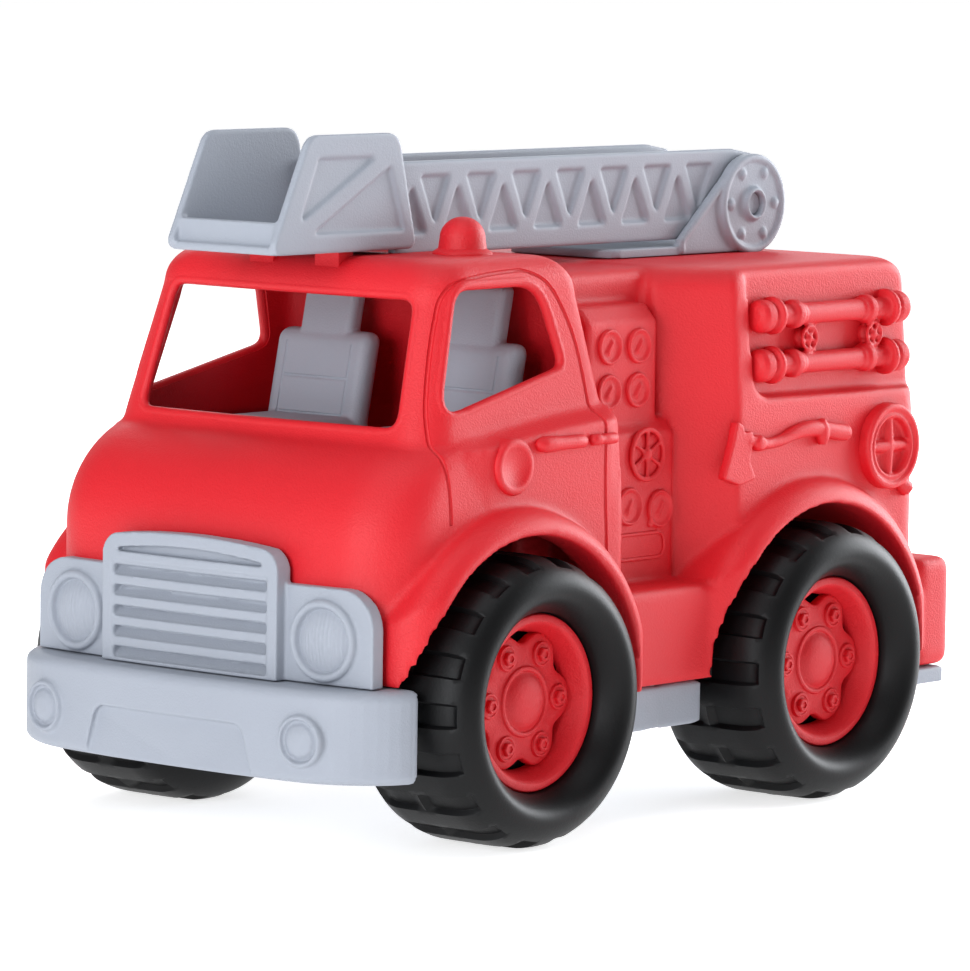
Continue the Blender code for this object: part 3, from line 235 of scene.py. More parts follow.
dress(chassis, "body", "grey_plastic", grey_polyethylene, "chassis")

# Axles and screws: plated steel wire and pan-head screws, seen only from below.
# Cold drawn and barrel plated, pushed or driven into the mouldings.
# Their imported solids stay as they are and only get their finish.
plated_steel = bpy.data.materials.new("plated_steel")
plated_steel.use_nodes = True
steel_shader = plated_steel.node_tree.nodes["Principled BSDF"]
steel_shader.inputs["Metallic"].default_value = 1.0
steel_shader.inputs["Base Color"].default_value = linear("#B8BABD")
steel_place = add_node(plated_steel, "ShaderNodeTexCoord")
steel_haze = add_node(plated_steel, "ShaderNodeTexNoise", {"Vector": steel_place.outputs["Object"],
                                                           "Scale": 1 / (1.5 * MM), "Detail": 4.0})
steel_gloss = add_node(plated_steel, "ShaderNodeMapRange", {"Value": steel_haze.outputs["Fac"],
                                                            "To Min": 0.25, "To Max": 0.42})
plated_steel.node_tree.links.new(steel_gloss.outputs["Result"], steel_shader.inputs["Roughness"])
for name, node in frame["nodes"].items():
    if name.endswith(("screw", "axle", "washer")):
        node.data.materials.clear()
        node.data.materials.append(plated_steel)

# Tyres: four hollow black mouldings with a smooth bulged wall and a pocketed shoulder.
# Blow moulded soft plastic with a satin skin; each also closes the wheel behind the red rim.
# They turn with their axle.
WHEELS = (("front_left", 1, "front_wheels"), ("front_right", -1, "front_wheels"),
          ("rear_left", 1, "rear_wheels"), ("rear_right", -1, "rear_wheels"))
TYRE_SEAT = 25.2 * MM
WALL_MM = ((0, 18), (0, 9), (1.2, 5.2), (4.6, 0.9), (8, 0.1), (11.6, 2))
SHOULDER_MM = ((1.6, 5.6), (0.3, 10), (0, 15), (0, 22))
BACK_MM = ((0, 14), (0.3, 9), (2.4, 4), (8, 0.3))
TREAD_POCKETS = 18
POCKET_HALF_TURN = math.radians(4.6)
POCKET_EDGE_TURN = math.radians(0.55)
POCKET_DEPTH = 1.7 * MM
FRONT_ROW_MM = (21.5, 20.5, 5.2, 3.4)
BACK_ROW_START_MM = (5, 7)
BACK_ROW_END_MM = (24.5, 23.5)
TREAD_FADE_MM = (6, 3)


def mm(points):
    """Points given in millimetres, in metres."""
    return [tuple(value * MM for value in point) for point in points]


def loft(name, rings):
    """A skin through rings of points with the same count, its ends closed."""
    bpy.ops.object.select_all(action="DESELECT")
    bpy.ops.mesh.primitive_grid_add(x_subdivisions=len(rings[0]), y_subdivisions=len(rings) - 1)
    piece = bpy.context.active_object
    piece.name = name
    points = np.array([point for ring in rings for point in (*ring, ring[0])], float)
    piece.data.vertices.foreach_set("co", points.ravel())
    bpy.ops.object.mode_set(mode="EDIT")
    bpy.ops.mesh.select_all(action="SELECT")
    bpy.ops.mesh.remove_doubles(threshold=MERGE_REACH)
    bpy.ops.mesh.select_all(action="DESELECT")
    bpy.ops.mesh.select_non_manifold()
    bpy.ops.mesh.fill_holes(sides=0)
    bpy.ops.mesh.select_all(action="SELECT")
    bpy.ops.mesh.normals_make_consistent(inside=False)
    bpy.ops.object.mode_set(mode="OBJECT")
    return piece


def smooth_line(points, steps):
    """Points of an open Catmull-Rom curve through a few chosen ones."""
    ends = [tuple(2 * a - b for a, b in zip(points[0], points[1])),
            tuple(2 * a - b for a, b in zip(points[-1], points[-2]))]
    knots = [ends[0], *points, ends[1]]
    line = []
    for p0, p1, p2, p3 in zip(knots, knots[1:], knots[2:], knots[3:]):
        for i in range(steps):
            t = i / steps
            line.append(tuple(0.5 * (2 * b + (c - a) * t + (2 * a - 5 * b + 4 * c - d) * t * t
                                     + (3 * b - a - 3 * c + d) * t ** 3)
                              for a, b, c, d in zip(p0, p1, p2, p3)))
    return [*line, points[-1]]


def on_axle(axle_x, axle_z, side, radius, turn, out):
    """A point at a radius and a turn about an axle, and a distance out from the middle plane."""
    return (axle_x + radius * math.sin(turn), side * out, axle_z + radius * math.cos(turn))


def ramp(value, low, high):
    """A soft step from 0 to 1."""
    share = min(max((value - low) / (high - low), 0), 1)
    return share * share * (3 - 2 * share)


def between(value, rise_low, rise_high, fall_low, fall_high):
    """A soft step up and another one down."""
    return ramp(value, rise_low, rise_high) * (1 - ramp(value, fall_low, fall_high))


def make_tyre(label, side, body):
    """One tyre, lofted from the web behind the rim over the tread to the back."""
    low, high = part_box(f"{label}_tyre")
    axle_x = (low.x + high.x) / 2
    crown = high.z / 2
    outer = max(abs(low.y), abs(high.y))
    inner = min(abs(low.y), abs(high.y))
    knots = [(TYRE_SEAT + a, outer - b) for a, b in mm(WALL_MM)]
    knots += [(crown - a, outer - b) for a, b in mm(SHOULDER_MM)]
    knots += [*((crown - a, inner + b) for a, b in mm(BACK_MM)), (TYRE_SEAT, inner)]
    web = knots[0][1]
    profile = [(0, web), (TYRE_SEAT * 0.98, web), *smooth_line(knots, 4), (0, inner)]
    half = math.pi / TREAD_POCKETS
    stops = [s * half for s in (-1, -0.86, -0.7, 0.7, 0.86)] + [s * POCKET_HALF_TURN for s in (-0.4, 0, 0.4)]
    stops += [s * POCKET_HALF_TURN + e * POCKET_EDGE_TURN for s in (-1, 1) for e in (-1, -0.4, 0.4, 1)]
    turns = [half * (2 * pocket + 1) + stop for pocket in range(TREAD_POCKETS) for stop in sorted(stops)]
    rings = []
    for radius, out in profile:
        front_row = between(out, *(outer - depth * MM for depth in FRONT_ROW_MM))
        back_row = between(out, *(inner + depth * MM for depth in BACK_ROW_START_MM),
                           *(outer - depth * MM for depth in BACK_ROW_END_MM))
        tread = ramp(radius, *(crown - depth * MM for depth in TREAD_FADE_MM))
        ring = []
        for turn in turns:
            away = abs(turn / (2 * half) % 1 - 0.5) * 2 * half
            sunk = 1 - ramp(away, POCKET_HALF_TURN - POCKET_EDGE_TURN, POCKET_HALF_TURN + POCKET_EDGE_TURN)
            drop = POCKET_DEPTH * sunk * tread * max(front_row, back_row)
            ring.append(on_axle(axle_x, crown, side, radius - drop if radius else 0, turn, out))
        rings.append(ring)
    tyre = loft(f"{label}_tyre_moulding", rings)
    dress(tyre, body, "black_plastic", satin_black, f"{label}_tyre", angle=40)


satin_black = moulded_plastic("satin_black_tyre", "#050506", "#080809", 0.46, 0.7, 0.05, specular=0.2)
for label, side, body in WHEELS:
    make_tyre(label, side, body)

# Rims: four red polyethylene caps pressed into the tyres, each a lipped cone with a six-lobed spider.
# Injection moulded in one shot with mock wheel nuts and a domed hub; the gaps show the black wheel behind.
# They turn with their axle.
RIM_LOBES = 6
RIM_CONE_MM = ((-5.6, -7.6), (-5.2, -6.2), (-4.6, -4.4), (-3.4, -1.6), (-2.9, -0.6), (-2.2, 0), (-1.2, 0.1),
               (-0.4, -0.2), (0, -0.9), (0, -8), (-3, -8.4), (-5.6, -8.2), (-5.6, -7.6))
SPIDER_FLOOR = 4.6 * MM
SPIDER_REACH = 18.6 * MM
SPIDER_SCALLOP = 2.3 * MM
SPIDER_LOBE = 1.6 * MM
SPIDER_RISE_MM = ((0, 2.7), (0.16, 2.6), (0.28, 2.2), (0.36, 1.6), (0.41, 0.9), (0.435, 0.5), (0.45, 0.45),
                  (0.47, 0.9), (0.5, 1.05), (0.525, 0.9), (0.545, 0.35), (0.57, 0.2), (0.7, 0), (0.85, -0.25),
                  (0.955, -0.4), (0.985, -0.7), (1, -1.2), (1, -3.2), (0.9, -3.4), (0, -3.4))
NUT_CIRCLE = 14.6 * MM
BOSS_MM = ((0, 0.55), (2.7, 0.55), (3, 0.8), (3.45, 0.75), (3.7, 0.3), (3.8, -1.2), (0, -1.2))
NUT_MM = ((0, 1.5), (1, 1.5), (1.1, 1.9), (1.8, 1.9), (2.1, 1.6), (2.1, -0.5), (0, -0.5))


def around(steps):
    """Turns spaced evenly round a circle."""
    return [2 * math.pi * i / steps for i in range(steps)]


def turned(name, profile, place, steps=96):
    """A profile of (radius, height) points turned about the place's Z axis."""
    return loft(name, [[place @ Vector((r * math.cos(t), r * math.sin(t), h)) for t in around(steps)]
                       for r, h in profile])


def out_of_side(x, z, side, out):
    """A place on a flank, or on an axle, whose Z axis points out of the toy's side."""
    return Matrix.Translation((x, side * out, z)) @ Matrix.Rotation(math.radians(-90 * side), 4, "X")


def make_rim(label, side, body):
    """One rim: the cone, the spider, and a boss with a nut in each lobe."""
    low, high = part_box(f"{label}_rim")
    axle_x = (low.x + high.x) / 2
    axle_z = (low.z + high.z) / 2
    radius = (high.z - low.z) / 2
    face = max(abs(low.y), abs(high.y))
    cone = [(radius + a, b) for a, b in mm(RIM_CONE_MM)]
    parts = [turned("rim_cone", cone, out_of_side(axle_x, axle_z, side, face))]
    floor_out = face - SPIDER_FLOOR
    rings = []
    for share, rise in SPIDER_RISE_MM:
        ring = []
        for turn in around(144):
            wave = (0.5 + 0.5 * math.cos(RIM_LOBES * turn)) ** 1.7
            swing = SPIDER_LOBE - (SPIDER_SCALLOP + SPIDER_LOBE) * wave
            reach = share * (SPIDER_REACH + ramp(share, 0.6, 0.9) * swing)
            ring.append(on_axle(axle_x, axle_z, side, reach, turn, floor_out + rise * MM))
        rings.append(ring)
    parts.append(loft("rim_spider", rings))
    for turn in around(RIM_LOBES):
        x, _, z = on_axle(axle_x, axle_z, side, NUT_CIRCLE, turn + math.pi / RIM_LOBES, 0)
        place = out_of_side(x, z, side, floor_out)
        parts += [turned("wheel_boss", mm(BOSS_MM), place, 32), turned("wheel_nut", mm(NUT_MM), place, 6)]
    rim = joined(f"{label}_rim_cap", parts)
    dress(rim, body, "red_plastic", red_polyethylene, f"{label}_rim", angle=32)


red_polyethylene = moulded_plastic("red_polyethylene", "#CD0B1B", "#C60918", 0.54, 0.6, 0.17, specular=0.45)
for label, side, body in WHEELS:
    make_rim(label, side, body)

# Body, front half: hood, doors, cab roof and front mudguards of the one red moulding.
# Soft everywhere: each form runs into the next with a moulded fillet, and the windows are open holes with a
# rolled edge. Made as separate forms, joined, then melted together by a remesh.
BODY_FRONT_X = 118 * MM
CAB_REAR_X = 15 * MM
CAB_HALF = 67 * MM
CAB_REAR_ROUND = 4 * MM
HOOD_CORNER = 18 * MM
FRONT_BOW = 3 * MM
SHOULDER_Z = 115 * MM
HOOD_WAIST_Z = 60 * MM
HOOD_ROUND_Z = 84 * MM
GLASS_FOOT_X = 96 * MM
GLASS_RAKE = 10.5 * MM
GLASS_BOW = 2.5 * MM
CAB_TOP_HALF = 61 * MM
CAB_TOP_LEAN = 5 * MM
CAB_REAR_LEAN = 8 * MM
CAB_FOOT_LEAN = 6 * MM
CAB_LAP = 20 * MM
ROOF_EDGE_Z = 152 * MM
ROOF_TOP_Z = 162.8 * MM
ROOF_ROUND = 9 * MM
PILLAR_ROUND = 11 * MM
PILLAR_REAR_ROUND = 5 * MM
CAB_WALL = 3.2 * MM
HOLLOW_LOW_Z = 20 * MM
BODY_BOTTOM_Z = 39.3 * MM
BELT_STOPS = 25
BELT_FRONT_X = 90 * MM
BELT_FRONT_Z = 112 * MM
BELT_RISE = 8.3 * MM
BELT_CORE_MM = (30, 60)
BELT_FLANK_MM = (66.8, 90)
BELT_EDGE_Y = 63.6 * MM
BELT_TOP_Y = 60.4 * MM
BELT_SWELL = 3.2 * MM
BELT_SWELL_RUN = 22 * MM
BELT_TUCK = 3 * MM
BELT_TUCK_RUN = 6 * MM
FRONT_AXLE, REAR_AXLE = [(Vector(low) + Vector(high)) / 2
                         for low, high in (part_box("front_axle"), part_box("rear_axle"))]
GUARD_RADIUS = 53.5 * MM
GUARD_HALF = 77 * MM
GUARD_EDGE = 8 * MM
GUARD_REAR_ROUND = 12 * MM
GUARD_TRIM_Z = 120 * MM
FRONT_GUARD_MM = (112, 14)
ARCH_RADIUS = 46.5 * MM
ARCH_INNER_Y = 39 * MM
ARCH_OUTER_Y = 110 * MM
FRONT_ROOMS_MM = ((113, 60.5), (108.2, 48.3))
FAR = 0.4
WINDSHIELD_MM = ((50.3, 115.6, 5.5), (46.9, 153.4, 6), (-46.9, 153.4, 6), (-50.3, 115.6, 5.5))
SHIELD_CUT_MM = (60, 125)
SIDE_WINDOW_MM = ((87.2, 118.4, 6), (75.6, 156.2, 7), (40, 156.4, 13), (31.8, 130.9, 5))
SIDE_CUT = (44 * MM, 80 * MM)
WINDOW_STEP = 2 * MM
ROLLED_EDGE = 1.6 * MM
ROLLED_DEPTH = 1.5 * MM
DOOR_LINE_MM = ((90, 91.5), (90, 98.5), (90.2, 107), (90.4, 111.5), (89.6, 120), (87.8, 128), (84.7, 139),
                (82.1, 147), (79.4, 153.6), (75, 156.9), (63.2, 158.6), (50.6, 159.3), (45, 159), (38.2, 156),
                (32.3, 148.5), (27.6, 137.5), (24.6, 121), (24.3, 113), (24.3, 100), (23.6, 79))
DOOR_GROOVE = 0.75 * MM
HANDLE_MM = ((55, 0.7), (54, 1.8), (51.5, 2.4), (48, 2.3), (44, 2.0), (39, 2.0), (35, 1.9), (33.4, 0.7))
LATCH_MM = ((31.6, 0.6), (30.8, 1.6), (28, 1.7), (26.6, 1.2), (25.2, 1.6), (20.8, 1.6), (20, 0.6))
HANDLE_Z = 111.6 * MM
BADGE_X = 64 * MM
BADGE_Z = 106 * MM
HANDLE_PROUD = 0.5 * MM
BADGE_MM = ((0, 0.4), (5.2, 0.4), (5.6, 0.9), (6.4, 1.1), (7.4, 1), (8, 0.3), (8, -3), (0, -3))
REST_MM = ((76.5, 8, 158), (82.5, 17, 163.7))
VOXEL_FRONT = 1.1 * MM


def quarter(steps):
    """Steps of a quarter round, as shares of its radius: how far in and how far up."""
    turns = [math.radians(90 * i / steps) for i in range(steps + 1)]
    return [(1 - math.cos(turn), math.sin(turn)) for turn in turns]


def plan(z, rear, front, half, rear_round, front_round, bow=0.0, across=8, front_steps=10):
    """A level ring: a rounded rectangle seen from above, its front bowed back towards the sides."""
    points = []
    for x, sign, radius, start in ((front, 1, front_round, 0), (rear, 1, rear_round, 90),
                                   (rear, -1, rear_round, 180), (front, -1, front_round, 270)):
        ahead = start in (0, 270)
        cx = x - radius if ahead else x + radius
        cy = sign * (half - radius)
        count = front_steps if ahead else 10
        for i in range(count + 1):
            turn = math.radians(start + 90 * i / count)
            points.append((cx + radius * math.cos(turn), cy + radius * math.sin(turn)))
        if start in (90, 270):
            points += [(x, cy * (1 - 2 * i / across)) for i in range(1, across)]
    return [(x - bow * (y / half) ** 2 * (x - rear) / (front - rear), y, z) for x, y in points]


def combine(piece, operation, *tools):
    """Join tools to a piece, or cut them out of it, and remove them."""
    for tool in tools:
        modify(piece, "BOOLEAN", operation=operation, object=tool, solver="MANIFOLD")
        bpy.data.objects.remove(tool)
    return piece


def block(name, low, high):
    """A plain box between two corners, used as a cutter or as a start."""
    (x0, y0, z0), (x1, y1, z1) = low, high
    ring = ((x0, y0), (x1, y0), (x1, y1), (x0, y1))
    return loft(name, [[(x, y, z) for x, y in ring] for z in (z0, z1)])


def slab(name, outline, side, inner, outer):
    """An (x, z) outline made solid between two distances out from the middle plane."""
    return loft(name, [[(x, side * y, z) for x, z in outline] for y in (inner, outer)])


def cab_lower(name, wall):
    """Hood and doors: upright flanks and a round shoulder."""
    fall = BODY_FRONT_X - GLASS_FOOT_X + GLASS_RAKE
    levels = [(z, 0) for z in (HOLLOW_LOW_Z if wall else BODY_BOTTOM_Z, HOOD_WAIST_Z, HOOD_ROUND_Z - wall)]
    levels += [(HOOD_ROUND_Z - wall + (SHOULDER_Z - HOOD_ROUND_Z) * up, inn) for inn, up in quarter(12)[1:]]
    return loft(name, [plan(z, CAB_REAR_X + wall, BODY_FRONT_X - wall - fall * inn,
                            CAB_HALF - wall - (CAB_HALF - CAB_TOP_HALF) * inn, CAB_REAR_ROUND, HOOD_CORNER,
                            FRONT_BOW) for z, inn in levels])


def cab_upper(name, wall):
    """Cab above the belt: raked windshield, leaning sides and a crowned roof."""
    drop = CAB_LAP / (ROOF_EDGE_Z - SHOULDER_Z)
    levels = [(SHOULDER_Z - CAB_LAP, CAB_REAR_X - CAB_FOOT_LEAN * drop, GLASS_FOOT_X + GLASS_RAKE * drop,
               CAB_TOP_HALF, wall), (SHOULDER_Z, CAB_REAR_X, GLASS_FOOT_X, CAB_TOP_HALF, wall)]
    for inn, up in quarter(12):
        levels.append((ROOF_EDGE_Z + (ROOF_TOP_Z - ROOF_EDGE_Z) * up - wall, CAB_REAR_X + CAB_REAR_LEAN,
                       GLASS_FOOT_X - GLASS_RAKE, CAB_TOP_HALF - CAB_TOP_LEAN, ROOF_ROUND * inn + wall))
    return loft(name, [plan(z, rear + inset, front - inset, half - inset, PILLAR_REAR_ROUND, PILLAR_ROUND,
                            GLASS_BOW) for z, rear, front, half, inset in levels])


def belt_wedge(name, side):
    """The door's upper edge: a sloped ledge that rises to the rear under the window."""
    core_y, core_z, flank_y, flank_z = (value * MM for value in (*BELT_CORE_MM, *BELT_FLANK_MM))
    rings = []
    for i in range(BELT_STOPS + 1):
        share = i / BELT_STOPS
        x = BELT_FRONT_X + (CAB_REAR_X + 0.5 * MM - BELT_FRONT_X) * share
        crease = BELT_FRONT_Z + BELT_RISE * (1 - (1 - share) ** 1.6)
        swell = ramp(BELT_FRONT_X - x, 0, BELT_SWELL_RUN)
        tuck = ramp(CAB_REAR_X + BELT_TUCK_RUN - x, 0, BELT_TUCK_RUN)
        edge = BELT_EDGE_Y + BELT_SWELL * swell - BELT_TUCK * tuck
        drop = (1.6 + 2 * swell) * MM
        shape = ((core_y, core_z), (flank_y, core_z), (flank_y, flank_z), (edge, crease - drop),
                 (BELT_TOP_Y, crease), (core_y, crease))
        rings.append([(x, side * y, z) for y, z in shape])
    return loft(name, rings)


def mudguards(name, axle_x, nose, nose_round):
    """Both guards over one axle: a barrel with rounded rims, trimmed in plan."""
    profile = [(0, GUARD_HALF)]
    profile += [(GUARD_RADIUS - GUARD_EDGE * (1 - up), GUARD_HALF - GUARD_EDGE * inn)
                for inn, up in quarter(8)]
    profile += [(r, -h) for r, h in reversed(profile)]
    barrel = turned(name, profile, out_of_side(axle_x, FRONT_AXLE.z, 1, 0), 120)
    rings = [plan(z, axle_x - GUARD_RADIUS, nose, GUARD_HALF, GUARD_REAR_ROUND, nose_round)
             for z in (BODY_BOTTOM_Z, GUARD_TRIM_Z)]
    return combine(barrel, "INTERSECT", loft("guard_plan", rings))


def arches(axle_x):
    """Cutters for the two wheel wells of one axle."""
    profile = [(0, ARCH_INNER_Y), (ARCH_RADIUS, ARCH_INNER_Y), (ARCH_RADIUS, ARCH_OUTER_Y), (0, ARCH_OUTER_Y)]
    places = [out_of_side(axle_x, FRONT_AXLE.z, side, 0) for side in (1, -1)]
    return [turned("wheel_well", profile, place, 120) for place in places]


def rounded_polygon(corners, steps=6):
    """An outline with its corners rounded, from (a, b, radius) corners."""
    points = []
    count = len(corners)
    for i, (a, b, radius) in enumerate(corners):
        here = Vector((a, b))
        back_way = (Vector(corners[i - 1][:2]) - here).normalized()
        next_way = (Vector(corners[(i + 1) % count][:2]) - here).normalized()
        half = back_way.angle(next_way) / 2
        reach = radius / math.tan(half)
        start = here + back_way * reach
        end = here + next_way * reach
        for k in range(steps + 1):
            t = k / steps
            points.append(tuple(start * (1 - t) ** 2 + here * (2 * t * (1 - t)) + end * t * t))
    return points


def fine(points, step):
    """A closed outline with extra points along its straight runs."""
    line = []
    for a, b in zip(points, points[1:] + points[:1]):
        count = max(1, round(math.dist(a, b) / step))
        line += [tuple(p + (q - p) * i / count for p, q in zip(a, b)) for i in range(count)]
    return line


def bar(name, points, radii, closed=False, sides=12):
    """A round bar along points, of one radius or a radius a point; a closed one runs back into itself."""
    path = [Vector(point) for point in points]
    last = len(path) - 1
    if isinstance(radii, float):
        radii = [radii] * len(path)
    rings = []
    aside = None
    for i, (point, radius) in enumerate(zip(path, radii)):
        before = path[i - 1] if closed or i > 0 else point
        after = path[(i + 1) % len(path)] if closed or i < last else point
        along = (after - before).normalized()
        aside = along.orthogonal() if aside is None else aside - along * aside.dot(along)
        aside.normalize()
        other = along.cross(aside)
        rings.append([point + (aside * math.cos(t) + other * math.sin(t)) * radius for t in around(sides)])
    return loft(name, [*rings, rings[0]] if closed else rings)


def on_skin(piece, starts, way, depth):
    """Where straight lines from outside meet a piece, moved on by a depth."""
    bpy.context.view_layer.update()
    way = Vector(way)
    return [piece.ray_cast(Vector(start), way)[1] + way * depth for start in starts]


front_body = cab_lower("red_body_front", 0)
guard_nose, guard_nose_round = (value * MM for value in FRONT_GUARD_MM)
combine(front_body, "UNION", cab_upper("cab_top", 0),
        mudguards("front_guards", FRONT_AXLE.x, guard_nose, guard_nose_round),
        belt_wedge("left_belt", 1), belt_wedge("right_belt", -1))
rooms = [block("front_room", (x, -FAR, 0), (FAR, FAR, top)) for x, top in mm(FRONT_ROOMS_MM)]
combine(front_body, "DIFFERENCE", *rooms, *arches(FRONT_AXLE.x))
combine(front_body, "DIFFERENCE", cab_lower("cab_hollow", CAB_WALL), cab_upper("roof_hollow", CAB_WALL))
melt(front_body, VOXEL_FRONT, 6)

shield = fine(rounded_polygon(mm(WINDSHIELD_MM)), WINDOW_STEP)
edge = on_skin(front_body, [(FAR, y, z) for y, z in shield], (-1, 0, 0), ROLLED_DEPTH)
hole = loft("windshield_hole", [[(x * MM, y, z) for y, z in shield] for x in SHIELD_CUT_MM])
combine(front_body, "DIFFERENCE", hole)
combine(front_body, "UNION", bar("windshield_edge", edge, ROLLED_EDGE, closed=True))
for side in (1, -1):
    inward = (0, -side, 0)
    door = smooth_line(mm(DOOR_LINE_MM), 8)
    groove = on_skin(front_body, [(x, side * FAR, z) for x, z in door], inward, 0)
    window = fine(rounded_polygon(mm(SIDE_WINDOW_MM)), WINDOW_STEP)
    edge = on_skin(front_body, [(x, side * FAR, z) for x, z in window], inward, ROLLED_DEPTH)
    badge_foot = on_skin(front_body, [(BADGE_X, side * FAR, BADGE_Z)], inward, 0)[0]
    combine(front_body, "DIFFERENCE", slab("window_hole", window, side, *SIDE_CUT),
            bar("door_groove", groove, DOOR_GROOVE, sides=8))
    grips = []
    for form in (HANDLE_MM, LATCH_MM):
        grip = on_skin(front_body, [(x * MM, side * FAR, HANDLE_Z) for x, _ in form], inward, -HANDLE_PROUD)
        grips.append(bar("door_grip", grip, [radius * MM for _, radius in form]))
    badge = turned("door_badge", mm(BADGE_MM), out_of_side(BADGE_X, BADGE_Z, side, abs(badge_foot.y)), 48)
    low, high = mm(REST_MM)
    rest = block("ladder_rest", (low[0], side * low[1], low[2]), (high[0], side * high[1], high[2]))
    combine(front_body, "UNION", bar("window_edge", edge, ROLLED_EDGE, closed=True), *grips, badge, rest)
dress(front_body, "body", "red_plastic", red_polyethylene, "body_shell")

# Body, rear half: pump waist, equipment box, rear mudguards, side steps and tail step.
# The same red moulding; it meets the front half in the corner behind the cab.
# Made and melted like the front.
PUMP_HALF = 45 * MM
PUMP_FRONT_X = 37 * MM
PUMP_LAP = 12 * MM
PUMP_DROP = 0.5 * MM
PUMP_CORNER = 3 * MM
PUMP_TOP_ROUND = 4 * MM
PUMP_BLOCKS_MM = ((-13.5, 54.5, 142.5, 147.5), (-18, 57.5, 110.5, 114.5))
PUMP_BLOCK_FRONT = 22
PUMP_BLOCK_LOW = 60
PUMP_BLOCK_SLOPE = 4.5
BOX_FRONT_X = -17 * MM
BOX_REAR_X = -119 * MM
BOX_HALF = 66 * MM
BOX_FLARE = 2.5 * MM
BOX_FLARE_Z = 112.5 * MM
BOX_TOP_Z = 157.5 * MM
BOX_TOP_ROUND = 7 * MM
BOX_REAR_ROUND = 8 * MM
BOX_CORNER = 17 * MM
STEP_TOP_Z = 67.5 * MM
STEP_HALF = 70 * MM
STEP_LAPS = (8 * MM, 1.5 * MM)
STEP_ROUND = 2.5 * MM
TAIL_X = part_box("body_shell")[0].x
TAIL_DEPTH = 16 * MM
TAIL_HALF = 72 * MM
TAIL_TOP_Z = 67 * MM
TAIL_LOW_Z = 34 * MM
TAIL_ROUND = 3.5 * MM
REAR_GUARD_ROUND = 22 * MM
PANEL_Y = BOX_HALF - 2 * MM
PANEL_MM = ((-42, 119.5, 8), (-38, 175, 1), (-140, 175, 1), (-140, 118.5, 1))
PANEL_CUT_Y = 90 * MM
CAB_ROOM_FRONT_X = 60 * MM
CAB_ROOM_MARGIN = 2 * MM
CAB_ROOM_Z = (100 * MM, 175 * MM)
VOXEL_REAR = 1.05 * MM

levels = [(z, -BOX_FLARE, 0) for z in (BODY_BOTTOM_Z, BOX_FLARE_Z)]
levels += [(BOX_TOP_Z - BOX_TOP_ROUND * (1 - up), BOX_TOP_ROUND * inn, BOX_TOP_ROUND * inn)
           for inn, up in quarter(10)]
rear_body = loft("red_body_rear", [plan(z, BOX_REAR_X + inset, BOX_FRONT_X - front_inset, BOX_HALF - inset,
                                        BOX_REAR_ROUND, BOX_CORNER, front_steps=1)
                                   for z, inset, front_inset in levels])
levels = [(BODY_BOTTOM_Z, 0)]
levels += [(BOX_TOP_Z - PUMP_DROP - PUMP_TOP_ROUND * (1 - up), PUMP_TOP_ROUND * inn)
           for inn, up in quarter(5)]
pump_waist = loft("pump_waist", [plan(z, BOX_FRONT_X - PUMP_LAP, PUMP_FRONT_X - inset, PUMP_HALF - inset,
                                      PUMP_CORNER, PUMP_CORNER) for z, inset in levels])
steps_block = block("side_steps", (REAR_AXLE.x + ARCH_RADIUS - STEP_LAPS[0], -STEP_HALF, BODY_BOTTOM_Z),
                    (FRONT_AXLE.x - ARCH_RADIUS + STEP_LAPS[1], STEP_HALF, STEP_TOP_Z))
modify(steps_block, "BEVEL", width=STEP_ROUND, segments=4)
tail_block = block("tail_step", (TAIL_X, -TAIL_HALF, TAIL_LOW_Z),
                   (TAIL_X + TAIL_DEPTH, TAIL_HALF, TAIL_TOP_Z))
modify(tail_block, "BEVEL", width=TAIL_ROUND, segments=4)
for rear_x, half, ledge, crest in PUMP_BLOCKS_MM:
    top_half = half - PUMP_BLOCK_SLOPE
    shape = ((-half, PUMP_BLOCK_LOW), (half, PUMP_BLOCK_LOW), (half, ledge), (top_half, crest),
             (-top_half, crest), (-half, ledge))
    rings = [mm([(x, y, z) for y, z in shape]) for x in (rear_x, PUMP_BLOCK_FRONT)]
    combine(rear_body, "UNION", loft("pump_block", rings))
rear_guards = mudguards("rear_guards", REAR_AXLE.x, REAR_AXLE.x + GUARD_RADIUS, REAR_GUARD_ROUND)
combine(rear_body, "UNION", pump_waist, steps_block, rear_guards, tail_block)
combine(rear_body, "DIFFERENCE", *arches(REAR_AXLE.x))
for side in (1, -1):
    well = slab("panel_well", rounded_polygon(mm(PANEL_MM)), side, PANEL_Y, PANEL_CUT_Y)
    combine(rear_body, "DIFFERENCE", well)
cab_room = [plan(z, CAB_REAR_X + CAB_WALL, CAB_ROOM_FRONT_X, CAB_TOP_HALF - CAB_ROOM_MARGIN,
                 PUMP_CORNER, PUMP_CORNER) for z in CAB_ROOM_Z]
combine(rear_body, "DIFFERENCE", loft("cab_room", cab_room))
melt(rear_body, VOXEL_REAR, 6)
dress(rear_body, "body", "red_plastic", red_polyethylene, "body_shell")

# Pump fittings: gauges, a hand wheel and a filler ring on both sides of the waist.
# Relief of the same red moulding, raised from its stepped panel.
# Made as closed rings and bars, then melted into one skin.
UPPER_PANEL_Y = 54.5 * MM
LOWER_PANEL_Y = 57.5 * MM
PANEL_STEP_MM = 112
FITTING_VOXEL = 0.45 * MM
GAUGES_MM = ((8.6, 135.9, 5.3), (-4.5, 135.7, 5.3), (8.8, 123, 5.3), (-4.1, 123, 5.3), (2.6, 90, 5.7),
             (-11.2, 88.6, 5.7))
GAUGE_RIM_MM = ((-1.5, 0.25), (-1.1, 0.9), (-0.6, 1.15), (-0.2, 0.8), (0, -0.8))
NEEDLE_MM = ((-1.2, -1.6, 0.3), (1.2, 1.8, 0.5))
NEEDLE_RADIUS = 0.6 * MM
EAR_MM = ((0, 1.1), (0.8, 1), (1.3, 0.3), (1.3, -0.5), (0, -0.5))
